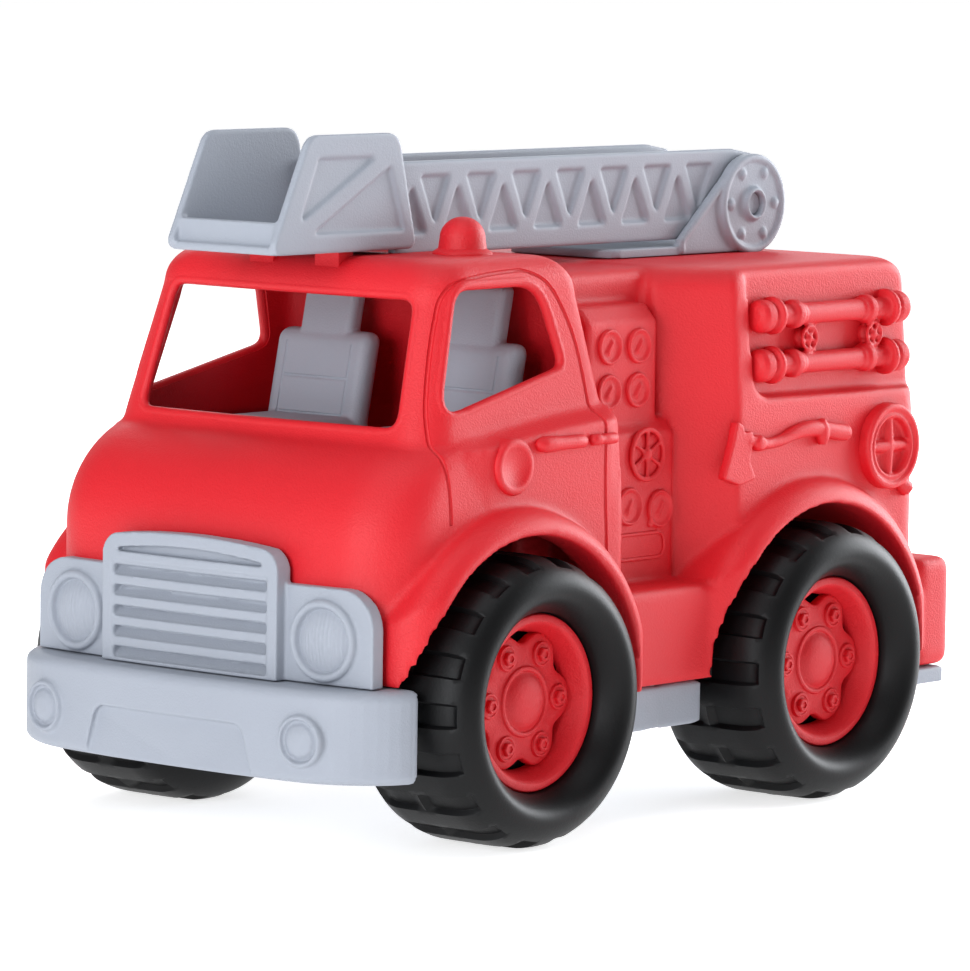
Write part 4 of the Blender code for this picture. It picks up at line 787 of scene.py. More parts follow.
EAR_REACH = 0.72 * MM
EAR_SINK = 0.3 * MM
HAND_WHEEL = (-5 * MM, 104.6 * MM)
HAND_WHEEL_RADIUS = 7.2 * MM
HAND_WHEEL_RIM = 0.85 * MM
HAND_WHEEL_HUB = 2 * MM
HAND_WHEEL_PROUD = 0.4 * MM
SLOT_MM = ((-13.5, 74.6, 3.2), (8, 74.6, 3.2), (8, 81.8, 3.2), (-13.5, 81.8, 3.2))
SLOT_RIM = 0.7 * MM


def spoked_wheel(name, place, radius, rim, spokes, hub):
    """A round rim with spokes and a domed hub, lying in the place's XY plane."""
    circle = [place @ Vector((radius * math.cos(t), radius * math.sin(t), 0)) for t in around(48)]
    pieces = [bar(f"{name}_rim", circle, rim, True)]
    for turn in around(spokes):
        tip = place @ Vector((-radius * math.sin(turn), radius * math.cos(turn), 0))
        pieces.append(bar(f"{name}_spoke", [place.translation, tip], rim * 0.75, sides=8))
    dome = [(0, rim * 1.5), (hub * 0.6, rim * 1.3), (hub, rim * 0.5), (hub, -rim), (0, -rim)]
    return [*pieces, turned(f"{name}_hub", dome, place, 24)]


for label, side in (("left", 1), ("right", -1)):
    pieces = []
    for x, z, radius in GAUGES_MM:
        upper = z > PANEL_STEP_MM
        place = out_of_side(x * MM, z * MM, side, UPPER_PANEL_Y if upper else LOWER_PANEL_Y)
        rim = [(radius + a, h) for a, h in GAUGE_RIM_MM]
        ring = [(0, rim[0][1]), *rim, (0, rim[-1][1])]
        pieces.append(turned("gauge", mm(ring), place, 48))
        needle = [place @ Vector(point) for point in mm(NEEDLE_MM)]
        pieces.append(bar("gauge_needle", needle, NEEDLE_RADIUS, sides=8))
        if not upper:
            ear = Matrix.Translation((radius * EAR_REACH, radius * EAR_REACH * side, -EAR_SINK))
            pieces.append(turned("gauge_ear", mm(EAR_MM), place @ ear, 20))
    wheel_place = out_of_side(*HAND_WHEEL, side, LOWER_PANEL_Y + HAND_WHEEL_PROUD)
    pieces += spoked_wheel("hand_wheel", wheel_place, HAND_WHEEL_RADIUS, HAND_WHEEL_RIM, 6, HAND_WHEEL_HUB)
    slot = [(x, side * LOWER_PANEL_Y, z) for x, z in rounded_polygon(mm(SLOT_MM))]
    pieces.append(bar("filler_ring", slot, SLOT_RIM, closed=True))
    fittings = melt(joined(f"{label}_pump_fittings", pieces), FITTING_VOXEL, 2)
    dress(fittings, "body", "red_plastic", red_polyethylene, "body_shell")

# Side equipment: two hard hoses with couplings, valves, an axe in its clip and a hose reel, on both flanks.
# Relief of the same red moulding, standing out of the equipment box.
# Each is built round its own axis and the whole flank is melted into one skin.
FLANK_Y = BOX_HALF + BOX_FLARE
HOSE_OUT = PANEL_Y + 2 * MM
HOSE_FRONT_X = -42.5 * MM
HOSE_LENGTH_MM = 71.5
HOSE_SWELL = 1.12
HOSE_HEIGHTS = (142.9 * MM, 128.5 * MM)
COUPLING_MM = ((0, 0), (2.2, 0.2), (3.6, 1), (4.3, 2.4), (4.3, 5.4), (3.7, 6.6), (3.6, 7.6), (5, 7.8),
               (5, 9.4), (3, 9.7), (2.7, 11.5), (2.7, 16.6), (3.8, 17), (3.8, 19.6), (3.2, 20), (3.2, 21.6),
               (2.8, 22))
VALVES_MM = ((-67.4, 135.7), (-98.4, 135.5))
VALVE_POST_MM = ((0, 3.4), (1.6, 3.4), (1.7, 3), (3.4, 1.2), (3.6, -1), (0, -1))
VALVE_RADIUS = 3.4 * MM
VALVE_RIM = 0.6 * MM
VALVE_HUB = 1.1 * MM
STRAP_MM = (-4.4, -1.4)
STRAP_PROUD = 2.4 * MM
AXE_HEAD_MM = ((-31, 113.4, 0.6), (-33.6, 112.2, 0.8), (-34.4, 109.8, 0.8), (-38.2, 110.4, 1),
               (-37.8, 104.8, 1), (-36.8, 101.6, 2), (-40, 96.2, 0.8), (-32.5, 94.6, 3), (-25, 97, 0.8),
               (-28, 104, 3))
AXE_HEAD_PROUD = 1.9 * MM
AXE_HANDLE_MM = ((-36.5, 107.2, 1.7), (-40.5, 107.2, 1.7), (-43, 106.2, 1.9), (-47, 106, 1.7),
                 (-53, 106.7, 1.8), (-59, 108.4, 2.2), (-66, 109.2, 2.5), (-73, 108.6, 2.5),
                 (-80, 107.4, 2.6), (-83.4, 107, 2.5), (-84.4, 106.9, 1.6))
AXE_HANDLE_PROUD = 0.5 * MM
FERRULE = (-41.6 * MM, 106.4 * MM)
FERRULE_MM = ((0, 2.9), (1.8, 2.7), (2.4, 1.6), (2.4, -1), (0, -1))
CLIP_X = -71.5 * MM
CLIP_PROUD = 1.2 * MM
CLIP_MM = ((104.2, 1.4), (106, 2.1), (109, 2.1), (112, 0.9))
REEL = (-103.6 * MM, 101.9 * MM)
REEL_MM = ((0, 0.6), (8.2, 0.6), (8.5, 2.6), (8.9, 3.2), (9.5, 3.2), (9.9, 2.6), (10.2, 2.4), (10.5, 3),
           (11.2, 3.7), (12.2, 3.6), (12.8, 2.9), (13, -1), (0, -1))
REEL_ARM_MM = ((0, 2), (8.4, 1.6))
REEL_ARM_LIFT = 0.7 * MM
NOZZLE_MM = ((-109.5, 91, 2), (-113.6, 88.2, 2.6))
NOZZLE_PROUD = 0.6 * MM

for label, side in (("left", 1), ("right", -1)):
    pieces = []
    for height in HOSE_HEIGHTS:
        start = Matrix.Translation((HOSE_FRONT_X, side * HOSE_OUT, height))
        along = start @ Matrix.Rotation(math.radians(-90), 4, "Y")
        profile = [*COUPLING_MM, *((r, HOSE_LENGTH_MM - h) for r, h in reversed(COUPLING_MM))]
        pieces.append(turned("hard_hose", mm([(HOSE_SWELL * r, h) for r, h in profile]), along, 40))
    for x, z in mm(VALVES_MM):
        place = out_of_side(x, z, side, PANEL_Y)
        pieces.append(turned("valve_post", mm(VALVE_POST_MM), place, 32))
        wheel_place = out_of_side(x, z, side, PANEL_Y + VALVE_POST_MM[0][1] * MM)
        pieces += spoked_wheel("valve", wheel_place, VALVE_RADIUS, VALVE_RIM, 5, VALVE_HUB)
        strap_low, strap_high = (x + value * MM for value in STRAP_MM)
        pieces.append(block("hose_strap", (strap_low, side * (PANEL_Y - MM), HOSE_HEIGHTS[1]),
                            (strap_high, side * (PANEL_Y + STRAP_PROUD), HOSE_HEIGHTS[0])))
    head = fine(rounded_polygon(mm(AXE_HEAD_MM), 3), 2 * MM)
    pieces.append(slab("axe_head", head, side, FLANK_Y - MM, FLANK_Y + AXE_HEAD_PROUD))
    handle = smooth_line([(x, side * (FLANK_Y + AXE_HANDLE_PROUD), z, r) for x, z, r in mm(AXE_HANDLE_MM)], 5)
    pieces.append(bar("axe_handle", [point[:3] for point in handle], [point[3] for point in handle]))
    pieces.append(turned("axe_ferrule", mm(FERRULE_MM), out_of_side(*FERRULE, side, FLANK_Y), 24))
    clip = [(CLIP_X, side * (FLANK_Y + CLIP_PROUD), z) for z, _ in mm(CLIP_MM)]
    pieces.append(bar("axe_clip", clip, [radius for _, radius in mm(CLIP_MM)]))
    place = out_of_side(*REEL, side, FLANK_Y)
    pieces.append(turned("hose_reel", mm(REEL_MM), place, 72))
    for turn in around(4):
        way = place @ Matrix.Rotation(turn, 4, "Z")
        arm = [way @ Vector((r, 0, REEL_ARM_LIFT)) for r, _ in mm(REEL_ARM_MM)]
        pieces.append(bar("reel_arm", arm, [radius for _, radius in mm(REEL_ARM_MM)], sides=10))
    nozzle = [(x, side * (FLANK_Y + NOZZLE_PROUD), z) for x, z, _ in mm(NOZZLE_MM)]
    pieces.append(bar("hose_nozzle", nozzle, [radius for _, _, radius in mm(NOZZLE_MM)]))
    equipment = melt(joined(f"{label}_side_equipment", pieces), FITTING_VOXEL, 2)
    dress(equipment, "body", "red_plastic", red_polyethylene, "body_shell")

# Beacons: two red domes on a flared foot, pushed into the cab roof.
# Injection moulded polyethylene with the body's grain.
# Turned from one profile.
DOME_RADIUS = 6.5 * MM
DOME_RISE = 6 * MM
BEACON_SHOULDER_MM = ((6.9, 2.1), (7.6, 1.6), (8.3, 1.2), (8.6, 0.8), (8.6, 0), (0, 0))
for label in ("left", "right"):
    low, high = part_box(f"roof_beacon_{label}")
    tall = high.z - low.z
    profile = [(DOME_RADIUS * up, tall - DOME_RISE * inn) for inn, up in quarter(12)]
    profile += mm(BEACON_SHOULDER_MM)
    place = Matrix.Translation(((low.x + high.x) / 2, (low.y + high.y) / 2, low.z))
    beacon = turned(f"{label}_beacon_dome", profile, place, 72)
    dress(beacon, "body", "red_plastic", red_polyethylene, f"roof_beacon_{label}", angle=35)

# Bumper: one grey bowed moulding across the nose, hollow behind, with a plate recess and two fog lamps.
# Injection moulded, snapped over the front end.
# Lofted in level rings, hollowed, and melted so that every edge is soft.
BUMPER_LOW, BUMPER_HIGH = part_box("front_bumper")
BUMPER_FRONT = BUMPER_HIGH.x
BUMPER_NARROWER = 1.8 * MM
BUMPER_HALF = BUMPER_HIGH.y - BUMPER_NARROWER
BUMPER_BOW = 6 * MM
BUMPER_ROUND = 3 * MM
BUMPER_CORNER = 25 * MM
BUMPER_END_ROUND = 2 * MM
BUMPER_WALL = 5.5 * MM
BUMPER_INNER_CORNER = 22 * MM
BUMPER_CUT = 10 * MM
FOG_LAMP = (49 * MM, 34 * MM)
FOG_LAMP_MM = ((0, 1.9), (2.4, 1.7), (4.2, 1), (5, 0.2), (5.4, 0.05), (5.8, 0.3), (6, 1.3), (6.4, 1.65),
               (6.9, 1.45), (7.3, 0.7), (7.4, -2), (0, -2))
PLATE_RECESS_MM = ((-34, 15, 1), (34, 15, 1), (28, 36.7, 5), (-28, 36.7, 5))
PLATE_RECESS_DEPTH = 2.2 * MM
PLATE_FADE_Z = (8 * MM, PLATE_RECESS_MM[2][1] * MM)
PLATE_CUT = -40 * MM
GREY_VOXEL = 0.45 * MM


def facing(x, y, z, slope):
    """A place on the nose whose Z axis points forward, turned outward by a slope, with Y up."""
    way = Vector((1, slope, 0))
    return Matrix.Translation((x, y, z)) @ way.to_track_quat("Z", "Y").to_matrix().to_4x4()


def bumper_ring(z, rear, inset, corner):
    """A level ring of the bumper, drawn in by an inset."""
    return plan(z, rear, BUMPER_FRONT - inset, BUMPER_HALF - inset, BUMPER_END_ROUND, corner, BUMPER_BOW,
                across=24)


def bumper_bow(y):
    """How far the bumper's front falls back at a distance from the middle."""
    return BUMPER_BOW * (y / BUMPER_HALF) ** 2


levels = [(BUMPER_LOW.z + BUMPER_ROUND * (1 - up), inn) for inn, up in reversed(quarter(6))]
levels += [(BUMPER_HIGH.z - BUMPER_ROUND * (1 - up), inn) for inn, up in quarter(6)]
bumper = loft("grey_bumper", [bumper_ring(z, BUMPER_LOW.x, BUMPER_ROUND * inn, BUMPER_CORNER)
                              for z, inn in levels])
inside = [bumper_ring(z - BUMPER_WALL, BUMPER_LOW.x - BUMPER_CUT, BUMPER_WALL, BUMPER_INNER_CORNER)
          for z in (BUMPER_LOW.z, BUMPER_HIGH.z)]
combine(bumper, "DIFFERENCE", loft("bumper_inside", inside))
outline = fine(rounded_polygon(mm(PLATE_RECESS_MM)), 3 * MM)
recess = [[(BUMPER_FRONT - depth * ramp(z, *PLATE_FADE_Z) - bumper_bow(y), y, z) for y, z in outline]
          for depth in (PLATE_RECESS_DEPTH, PLATE_CUT)]
combine(bumper, "DIFFERENCE", loft("plate_recess", recess))
for side in (1, -1):
    y, z = side * FOG_LAMP[0], FOG_LAMP[1]
    place = facing(BUMPER_FRONT - bumper_bow(y), y, z, 2 * BUMPER_BOW * y / BUMPER_HALF ** 2)
    combine(bumper, "UNION", turned("fog_lamp", mm(FOG_LAMP_MM), place, 64))
melt(bumper, GREY_VOXEL, 2)
dress(bumper, "body", "grey_plastic", grey_polyethylene, "front_bumper")

# Nose panel: one grey moulding with a slotted grille standing proud between two ringed headlamps.
# Injection moulded and pressed onto the hood above the bumper.
# Swept from side to side along the nose's bow; the ribbed lenses go in after the melt.
NOSE_LOW, NOSE_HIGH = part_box("grille_panel")
NOSE_HALF = NOSE_HIGH.y
NOSE_REAR = 118.3 * MM
NOSE_BOW = 2.7 * MM
LAMP_PLATE = 3 * MM
LAMP_PLATE_BACK = -1.6 * MM
LAMP_PLATE_TOP = 75 * MM
LAMP_PLATE_ROUND = 11 * MM
GRILLE_HALF = 33.5 * MM
GRILLE_PROUD = 6.7 * MM
GRILLE_ROUND = 5.5 * MM
GRILLE_CROWN = 2.2 * MM
CUT_FRONT = 9 * MM
FIELD_HALF = 30 * MM
FIELD_DEPTH = 0.5 * MM
FIELD_LOW = 49.4 * MM
FIELD_TOP = 77 * MM
SLOT_HALF = 29.3 * MM
SLOT_TOP = 75.6 * MM
SLOT_HEIGHT = 3 * MM
SLOT_TILT = 0.2 * MM
SLOT_DEPTHS = (4.4 * MM, 1.3 * MM)
SLOT_PITCH = 5.8 * MM
SLOT_COUNT = 5
ARC_SLOT_DEPTH = 2.6 * MM
ARC_SLOT_DROPS = (3.7 * MM, 6.6 * MM)
ARC_SLOT_CROWN = 2.1 * MM
HEADLAMP = (47.5 * MM, 60.5 * MM)
HEADLAMP_RING_MM = ((8.9, -2), (8.9, 0.5), (9.3, 1.7), (10.1, 2.2), (10.8, 2), (11.4, 1.2), (11.4, -2),
                    (8.9, -2))
LENS_RADIUS = 8.9 * MM
LENS_RISE = 2.2 * MM
LENS_RINGS = 30
RIB_FADE = 0.85
RIB_PITCH = 1.35 * MM
RIB_HEIGHT = 0.12 * MM


def nose_bow(y):
    """How far the nose falls back at a distance from the middle."""
    return NOSE_BOW * (y / NOSE_HALF) ** 2


def rounded_top(y, half, radius):
    """How far a rounded upper corner falls below its top edge."""
    reach = max(abs(y) - half + radius, 0)
    return radius - math.sqrt(max(radius * radius - reach * reach, 0))


def across_nose(name, half, section, stops=64):
    """A solid swept from side to side, its (x, z) section a function of y, bent along the nose."""
    line = [half * math.sin(math.pi * (i / stops - 0.5)) for i in range(stops + 1)]
    return loft(name, [[(NOSE_REAR + x - nose_bow(y), y, z) for x, z in section(y)] for y in line])


def strip(back, front, z0, z1):
    """An upright section between two depths and two heights."""
    return (back, z0), (front, z0), (front, z1), (back, z1)


def lamp_plate(y):
    """The plate behind the headlamps, its upper corners rounded."""
    top = LAMP_PLATE_TOP - rounded_top(y, NOSE_HALF, LAMP_PLATE_ROUND)
    return strip(LAMP_PLATE_BACK, LAMP_PLATE, NOSE_LOW.z, top)


def grille_block(y):
    """The grille's proud block with its crowned top."""
    top = NOSE_HIGH.z - GRILLE_CROWN * (y / GRILLE_HALF) ** 2 - rounded_top(y, GRILLE_HALF, GRILLE_ROUND)
    return strip(MM, GRILLE_PROUD, NOSE_LOW.z, top)


def grille_field(y):
    """The shallow field that the louvres lie in."""
    return strip(GRILLE_PROUD - FIELD_DEPTH, CUT_FRONT, FIELD_LOW, FIELD_TOP)


def arc_slot(y):
    """The long slot under the crown, thinning to its ends."""
    top, low = (NOSE_HIGH.z - drop for drop in ARC_SLOT_DROPS)
    return strip(GRILLE_PROUD - ARC_SLOT_DEPTH, CUT_FRONT, top - ARC_SLOT_CROWN * (y / SLOT_HALF) ** 2, low)


def louvre(top):
    """A slanted slot below a height."""
    low = top - SLOT_HEIGHT
    deep, shallow = (GRILLE_PROUD - depth for depth in SLOT_DEPTHS)
    shape = (deep, top - SLOT_TILT), (CUT_FRONT, top + SLOT_TILT), (CUT_FRONT, low), (shallow, low)
    return lambda y: shape


def ribbed_lens(place):
    """A domed lens with upright ribs that fade out before its edge."""
    circle = [(math.cos(turn), math.sin(turn)) for turn in around(128)]
    rings = []
    for step in range(LENS_RINGS + 1):
        share = step / LENS_RINGS
        radius = LENS_RADIUS * share
        rise = LENS_RISE * (1 - share ** 2)
        rib = RIB_HEIGHT * (1 - ramp(share, RIB_FADE, 1))
        wave = 2 * math.pi * radius / RIB_PITCH
        rings.append([place @ Vector((radius * x, radius * y, rise + rib * math.cos(wave * x)))
                      for x, y in circle])
    rings.append([place @ Vector((LENS_RADIUS * x, LENS_RADIUS * y, -MM)) for x, y in circle])
    return loft("headlamp_lens", rings)


nose = across_nose("grey_nose_panel", NOSE_HALF, lamp_plate)
combine(nose, "UNION", across_nose("grille_block", GRILLE_HALF, grille_block))
combine(nose, "DIFFERENCE", across_nose("grille_field", FIELD_HALF, grille_field),
        across_nose("arc_slot", SLOT_HALF, arc_slot))
for i in range(SLOT_COUNT):
    combine(nose, "DIFFERENCE", across_nose("grille_slot", SLOT_HALF, louvre(SLOT_TOP - i * SLOT_PITCH)))
lenses = []
for side in (1, -1):
    y, z = side * HEADLAMP[0], HEADLAMP[1]
    place = facing(NOSE_REAR + LAMP_PLATE - nose_bow(y), y, z, 2 * NOSE_BOW * y / NOSE_HALF ** 2)
    combine(nose, "UNION", turned("headlamp_ring", mm(HEADLAMP_RING_MM), place, 96))
    lenses.append(ribbed_lens(place))
melt(nose, GREY_VOXEL, 1)
nose = joined("grey_nose_panel", [nose, *lenses])
dress(nose, "body", "grey_plastic", grey_polyethylene, "grille_panel")

# Cab floor and seats: a grey floor plate and two grey bucket seats seen through the open windows.
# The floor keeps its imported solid; each seat is one moulding with a headrest and sewn-look seams.
# The seats are rounded blocks melted together, with the seams cut in, then leaned back.
SEAT_BACK = 8 * MM
SEAT_BACK_TOP = 137.5 * MM
SEAT_BACK_ROUND = 3.4 * MM
SEAT_WIDER = 4 * MM
SEAT_FORWARD = 9.5 * MM
SEAT_RECLINE = math.tan(math.radians(12))
RECLINE_FROM_Z = 112 * MM
SEAT_BACK_LIFT = 2 * MM
CUSHION_REAR = 3 * MM
CUSHION_AHEAD = 4 * MM
CUSHION_HEIGHT = 14 * MM
CUSHION_ROUND = 4 * MM
HEADREST_TOP = 153.5 * MM
HEADREST_HALF = 10 * MM
HEADREST_LAP = 8 * MM
HEADREST_REAR = MM
HEADREST_FRONT = 0.8 * MM
HEADREST_ROUND = 2.2 * MM
SEAM = 0.55 * MM
SEAM_PROUD = 0.1 * MM
SEAM_Y = 12.6 * MM
SEAM_RUN = (110 * MM, 120 * MM, 134 * MM)
SEAM_HEIGHTS = (124 * MM, 113.5 * MM)


def soft_block(name, low, high, radius):
    """A block with rounded edges."""
    return modify(block(name, low, high), "BEVEL", width=radius, segments=5)


frame["nodes"]["cab_floor"].data.materials.clear()
frame["nodes"]["cab_floor"].data.materials.append(grey_polyethylene)
for label in ("left", "right"):
    low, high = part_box(f"{label}_seat")
    right = low.y - (SEAT_WIDER if low.y > 0 else 0)
    left = high.y + (SEAT_WIDER if low.y < 0 else 0)
    middle = (left + right) / 2
    face = low.x + SEAT_BACK + SEAT_FORWARD
    rear = face - SEAT_BACK
    seat = soft_block(f"{label}_bucket_seat", (rear + CUSHION_REAR, right, low.z),
                      (high.x + CUSHION_AHEAD, left, low.z + CUSHION_HEIGHT), CUSHION_ROUND)
    back_rest = soft_block("back_rest", (rear, right, low.z + SEAT_BACK_LIFT), (face, left, SEAT_BACK_TOP),
                           SEAT_BACK_ROUND)
    headrest = soft_block("headrest",
                          (rear + HEADREST_REAR, middle - HEADREST_HALF, SEAT_BACK_TOP - HEADREST_LAP),
                          (face - HEADREST_FRONT, middle + HEADREST_HALF, HEADREST_TOP), HEADREST_ROUND)
    combine(seat, "UNION", back_rest, headrest)
    melt(seat, GREY_VOXEL, 3)
    seams = [[(y, z) for z in SEAM_RUN] for y in (SEAM_Y, -SEAM_Y)]
    seams += [[(y, z) for y in (-SEAM_Y, 0, SEAM_Y)] for z in SEAM_HEIGHTS]
    for seam in seams:
        run = [(face + SEAM_PROUD, middle + y, z) for y, z in seam]
        combine(seat, "DIFFERENCE", bar("seam", run, SEAM, sides=8))
    for point in seat.data.vertices:
        point.co.x -= SEAT_RECLINE * max(point.co.z - RECLINE_FROM_Z, 0)
    dress(seat, "body", "grey_plastic", grey_polyethylene, f"{label}_seat")

# Turntable: a grey plate that turns on the box roof and carries two round cheeks for the ladder.
# One injection moulding with a stem through the roof, held by a washer and a screw from inside.
# Cheeks have a raised rim, six mock rivets and a hub boss with the pin in it.
TABLE_LOW, TABLE_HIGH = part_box("turntable")
LIFT_X, _, LIFT_Z = frame["record"]["behaviour"]["joints"][3]["pos_m"]
PLATE_LOW_Z = 157.8 * MM
PLATE_TOP_Z = 160.4 * MM
PLATE_HALF = 20.4 * MM
PLATE_REAR_X = LIFT_X - 4 * MM
PLATE_FRONT_X = TABLE_HIGH.x - 20 * MM
PLATE_ROUND = 6 * MM
STEM_RADIUS = 8 * MM
CHEEK_RADIUS = 15 * MM
CHEEK_INNER_Y = 18.4 * MM
CHEEK_OUTER_Y = 21.4 * MM
CHEEK_LOW_Z = PLATE_LOW_Z + 0.2 * MM
CHEEK_ARC = (35, 255)
WEB_OUTER_Y = 20.6 * MM
WEB_FOOT_X = -64 * MM
WEB_FOOT_Z = (PLATE_LOW_Z + 0.5 * MM, PLATE_TOP_Z + 1.6 * MM)
WEB_EDGE_RADIUS = 1.1 * MM
WEB_EDGE_Y = WEB_OUTER_Y - 0.3 * MM
WEB_EDGE_Z = (PLATE_TOP_Z + 1.4 * MM, PLATE_LOW_Z + 0.6 * MM)
WEB_EDGE_SET = 0.8 * MM
RIVETS = 6
RIVET_CIRCLE = 10.4 * MM
RIVET_MM = ((0, 1), (0.8, 0.9), (1.4, 0.45), (1.6, -1), (0, -1))
CHEEK_RIM_MM = ((12.9, -1), (12.9, 0.5), (13.3, 0.9), (14.4, 0.9), (15, 0.4), (15, -2), (12.9, -2),
                (12.9, -1))
HUB_MM = ((3.5, -2.6), (3.5, 1.3), (3.8, 1.7), (4.6, 1.7), (5, 1.3), (5, -2.6), (3.5, -2.6))
HUB_BORE_MM = ((0, -8), (3.6, -8), (3.6, 8), (0, 8))
PIVOT_VOXEL = 0.55 * MM


def about_pin(radius, turns):
    """Points of an (x, z) arc about the ladder's pin."""
    return [(LIFT_X + radius * math.cos(turn), LIFT_Z + radius * math.sin(turn)) for turn in turns]


def swept(start, end, steps):
    """Turns from one angle in degrees to another."""
    return [math.radians(start + (end - start) * i / steps) for i in range(steps + 1)]


table = loft("grey_turntable", [plan(z, PLATE_REAR_X, PLATE_FRONT_X, PLATE_HALF, PLATE_ROUND, PLATE_ROUND)
                                for z in (PLATE_LOW_Z, PLATE_TOP_Z)])
stem_top = PLATE_LOW_Z + MM
stem = [(0, TABLE_LOW.z), (STEM_RADIUS, TABLE_LOW.z), (STEM_RADIUS, stem_top), (0, stem_top)]
place = Matrix.Translation(((TABLE_LOW.x + TABLE_HIGH.x) / 2, 0, 0))
combine(table, "UNION", turned("swivel_stem", stem, place, 48))
for side in (1, -1):
    round_side = about_pin(CHEEK_RADIUS, swept(*CHEEK_ARC, 40))
    web = [*round_side, (PLATE_REAR_X, WEB_FOOT_Z[0]), (WEB_FOOT_X, WEB_FOOT_Z[0]),
           (WEB_FOOT_X, WEB_FOOT_Z[1])]
    disc = [(x, max(z, CHEEK_LOW_Z)) for x, z in about_pin(CHEEK_RADIUS, around(90))]
    for outline, out in ((web, WEB_OUTER_Y), (disc, CHEEK_OUTER_Y)):
        combine(table, "UNION", slab("cheek", outline, side, CHEEK_INNER_Y, out))
    place = out_of_side(LIFT_X, LIFT_Z, side, CHEEK_OUTER_Y)
    combine(table, "UNION", turned("cheek_rim", mm(CHEEK_RIM_MM), place, 96))
    for turn in around(RIVETS):
        spot = Matrix.Translation((RIVET_CIRCLE * math.cos(turn), RIVET_CIRCLE * math.sin(turn), 0))
        combine(table, "UNION", turned("rivet", mm(RIVET_MM), place @ spot, 24))
    top_x, top_z = round_side[0]
    knee_x = WEB_FOOT_X - WEB_EDGE_RADIUS
    web_edge = [(top_x - WEB_EDGE_SET, top_z - WEB_EDGE_SET), *((knee_x, z) for z in WEB_EDGE_Z)]
    web_edge = [(x, side * WEB_EDGE_Y, z) for x, z in web_edge]
    combine(table, "UNION", bar("web_edge", web_edge, WEB_EDGE_RADIUS))
    combine(table, "DIFFERENCE", turned("hub_bore", mm(HUB_BORE_MM), place, 40))
    combine(table, "UNION", turned("hub", mm(HUB_MM), place, 48))
melt(table, PIVOT_VOXEL, 2)
dress(table, "turntable", "grey_plastic", grey_polyethylene, "turntable")
frame["nodes"]["ladder_pin"].data.materials.clear()
frame["nodes"]["ladder_pin"].data.materials.append(grey_polyethylene)

# Ladder: two grey braced walls joined by round rungs, hung on the pin between the cheeks.
# One injection moulding; the walls have sunk triangles that leave rails and a zigzag of braces.
# Cut from plates, melted so that the braces have moulded edges.
LADDER_LOW, LADDER_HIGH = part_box("ladder")
LADDER_HALF = LADDER_HIGH.y
LADDER_WALL = 3 * MM
LADDER_TAIL = 10.5 * MM
TAIL_ARC = (130, 250)
TAIL_TOP_X = (LIFT_X + 6 * MM, LIFT_X - 4 * MM)
TAIL_TOP_SHARE = 0.9
RUNGS = 11
RUNG_RADIUS = 1.8 * MM
RUNG_Z = 169 * MM
RUNG_ENDS_X = (LIFT_X + 20 * MM, 47.5 * MM)
RUNG_HALF = LADDER_HALF - 1.5 * MM
BAYS = 7
BAY_PITCH = 19.8 * MM
FIRST_BAY_X = -75.8 * MM
BRACE_DEPTH = 1.3 * MM
HANGING_MM = ((-6.4, 184.4, 0.7), (6.4, 184.4, 0.7), (0, 170.4, 0.8))
STANDING_MM = ((-6.4, 167.9, 0.7), (6.4, 167.9, 0.7), (0, 181.8, 0.8))
PIN_BORE = 3.4 * MM
PIN_CUT_Y = 30 * MM

wall_line = [(LADDER_HIGH.x, LADDER_LOW.z), (LADDER_HIGH.x, LADDER_HIGH.z), (TAIL_TOP_X[0], LADDER_HIGH.z),
             (TAIL_TOP_X[1], LIFT_Z + TAIL_TOP_SHARE * (LADDER_HIGH.z - LIFT_Z)),
             *about_pin(LADDER_TAIL, swept(*TAIL_ARC, 16)), (LIFT_X + LADDER_TAIL, LADDER_LOW.z)]
ladder = slab("grey_ladder", wall_line, 1, LADDER_HALF - LADDER_WALL, LADDER_HALF)
for i in range(RUNGS):
    x = RUNG_ENDS_X[0] + (RUNG_ENDS_X[1] - RUNG_ENDS_X[0]) * i / (RUNGS - 1)
    rung_line = [(x, RUNG_HALF, RUNG_Z), (x, -RUNG_HALF, RUNG_Z)]
    combine(ladder, "UNION", bar("rung", rung_line, RUNG_RADIUS, sides=16))
combine(ladder, "UNION", slab("far_wall", wall_line, -1, LADDER_HALF - LADDER_WALL, LADDER_HALF))
pockets = []
for side in (1, -1):
    for bay in range(BAYS):
        for shape, shift in ((HANGING_MM, 0), (STANDING_MM, BAY_PITCH / 2)):
            middle = FIRST_BAY_X + bay * BAY_PITCH + shift
            outline = [(middle + x, z) for x, z in rounded_polygon(mm(shape), 3)]
            pockets.append(slab("brace_pocket", outline, side, LADDER_HALF - BRACE_DEPTH, LADDER_HALF + MM))
combine(ladder, "DIFFERENCE", joined("brace_pockets", pockets))
pin_line = [(LIFT_X, -PIN_CUT_Y, LIFT_Z), (LIFT_X, PIN_CUT_Y, LIFT_Z)]
combine(ladder, "DIFFERENCE", bar("pin_bore", pin_line, PIN_BORE, sides=40))
melt(ladder, PIVOT_VOXEL, 2)
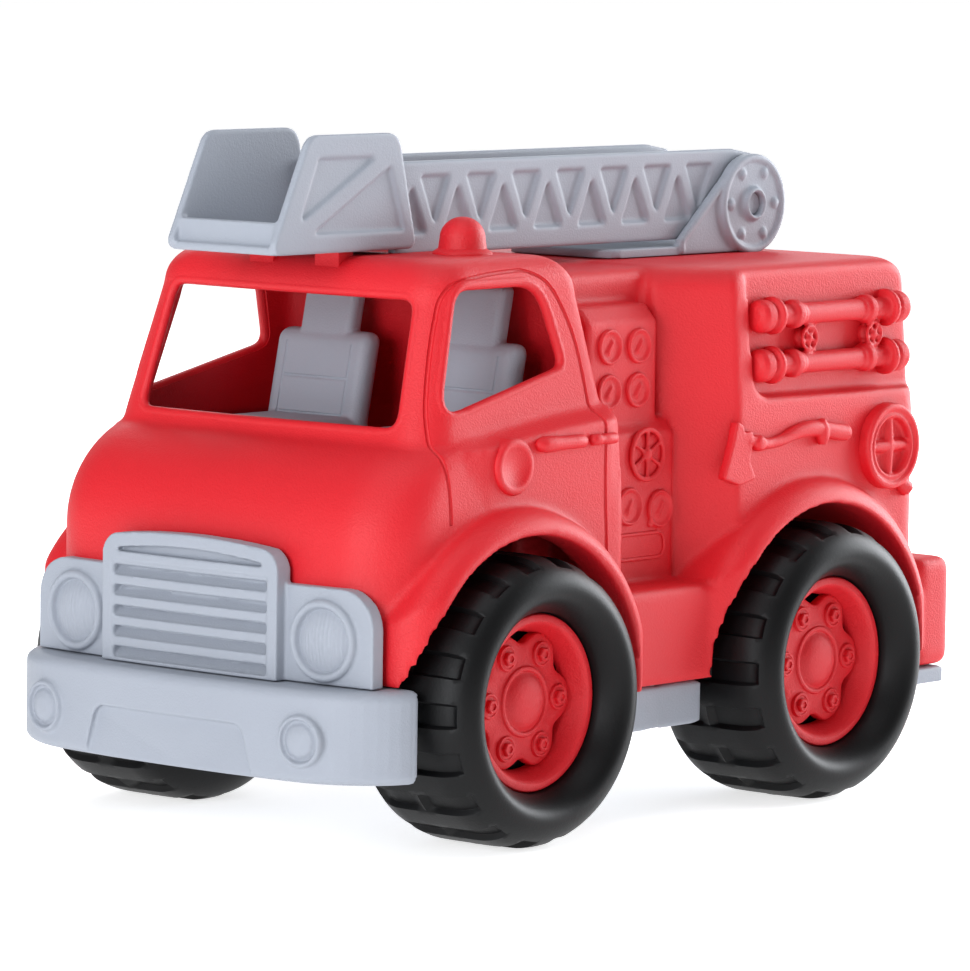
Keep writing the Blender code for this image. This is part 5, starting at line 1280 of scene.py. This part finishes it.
dress(ladder, "ladder", "grey_plastic", grey_polyethylene, "ladder")

# Rescue bucket: grey open cage at the ladder's tip, two raked walls, a floor and a low front lip.
# One injection moulding that clips over the ladder's end and moves with it.
# Each wall has two sunk triangles that leave a border and one slanted brace.
BUCKET_LOW, BUCKET_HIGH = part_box("rescue_bucket")
BUCKET_WALL = 2.4 * MM
BUCKET_OUTER = BUCKET_HIGH.y
BUCKET_INNER = BUCKET_OUTER - BUCKET_WALL
BUCKET_LINE_MM = ((53.5, 164, 3), (113, 164, 3), (112.4, 167.5, 3), (98.5, 197, 6), (61.5, 197, 6))
BUCKET_POCKETS_MM = (((94.8, 190.6, 0.8), (70.2, 190.6, 0.8), (102.4, 172.6, 0.8)),
                     ((65, 187.8, 0.8), (58.6, 169.4, 0.8), (97.6, 169.4, 0.8)))
BUCKET_POCKET_DEPTH = 1.1 * MM
FLOOR_X = (LADDER_HIGH.x + 0.4 * MM, BUCKET_HIGH.x - MM)
LIP_X = (BUCKET_HIGH.x - 5.4 * MM, BUCKET_HIGH.x - 3 * MM)
LIP_HEIGHT = 9 * MM

bucket_line = rounded_polygon(mm(BUCKET_LINE_MM))
bucket = slab("grey_rescue_bucket", bucket_line, 1, BUCKET_INNER, BUCKET_OUTER)
reach = BUCKET_INNER + MM
for (rear, front), tall in ((FLOOR_X, BUCKET_WALL), (LIP_X, LIP_HEIGHT)):
    low, high = (rear, -reach, BUCKET_LOW.z), (front, reach, BUCKET_LOW.z + tall)
    combine(bucket, "UNION", block("bucket_floor", low, high))
combine(bucket, "UNION", slab("far_wall", bucket_line, -1, BUCKET_INNER, BUCKET_OUTER))
for side in (1, -1):
    for shape in BUCKET_POCKETS_MM:
        outline = rounded_polygon(mm(shape), 3)
        pocket = slab("bucket_pocket", outline, side, BUCKET_OUTER - BUCKET_POCKET_DEPTH, BUCKET_OUTER + MM)
        combine(bucket, "DIFFERENCE", pocket)
melt(bucket, PIVOT_VOXEL, 2)
dress(bucket, "ladder", "grey_plastic", grey_polyethylene, "rescue_bucket")
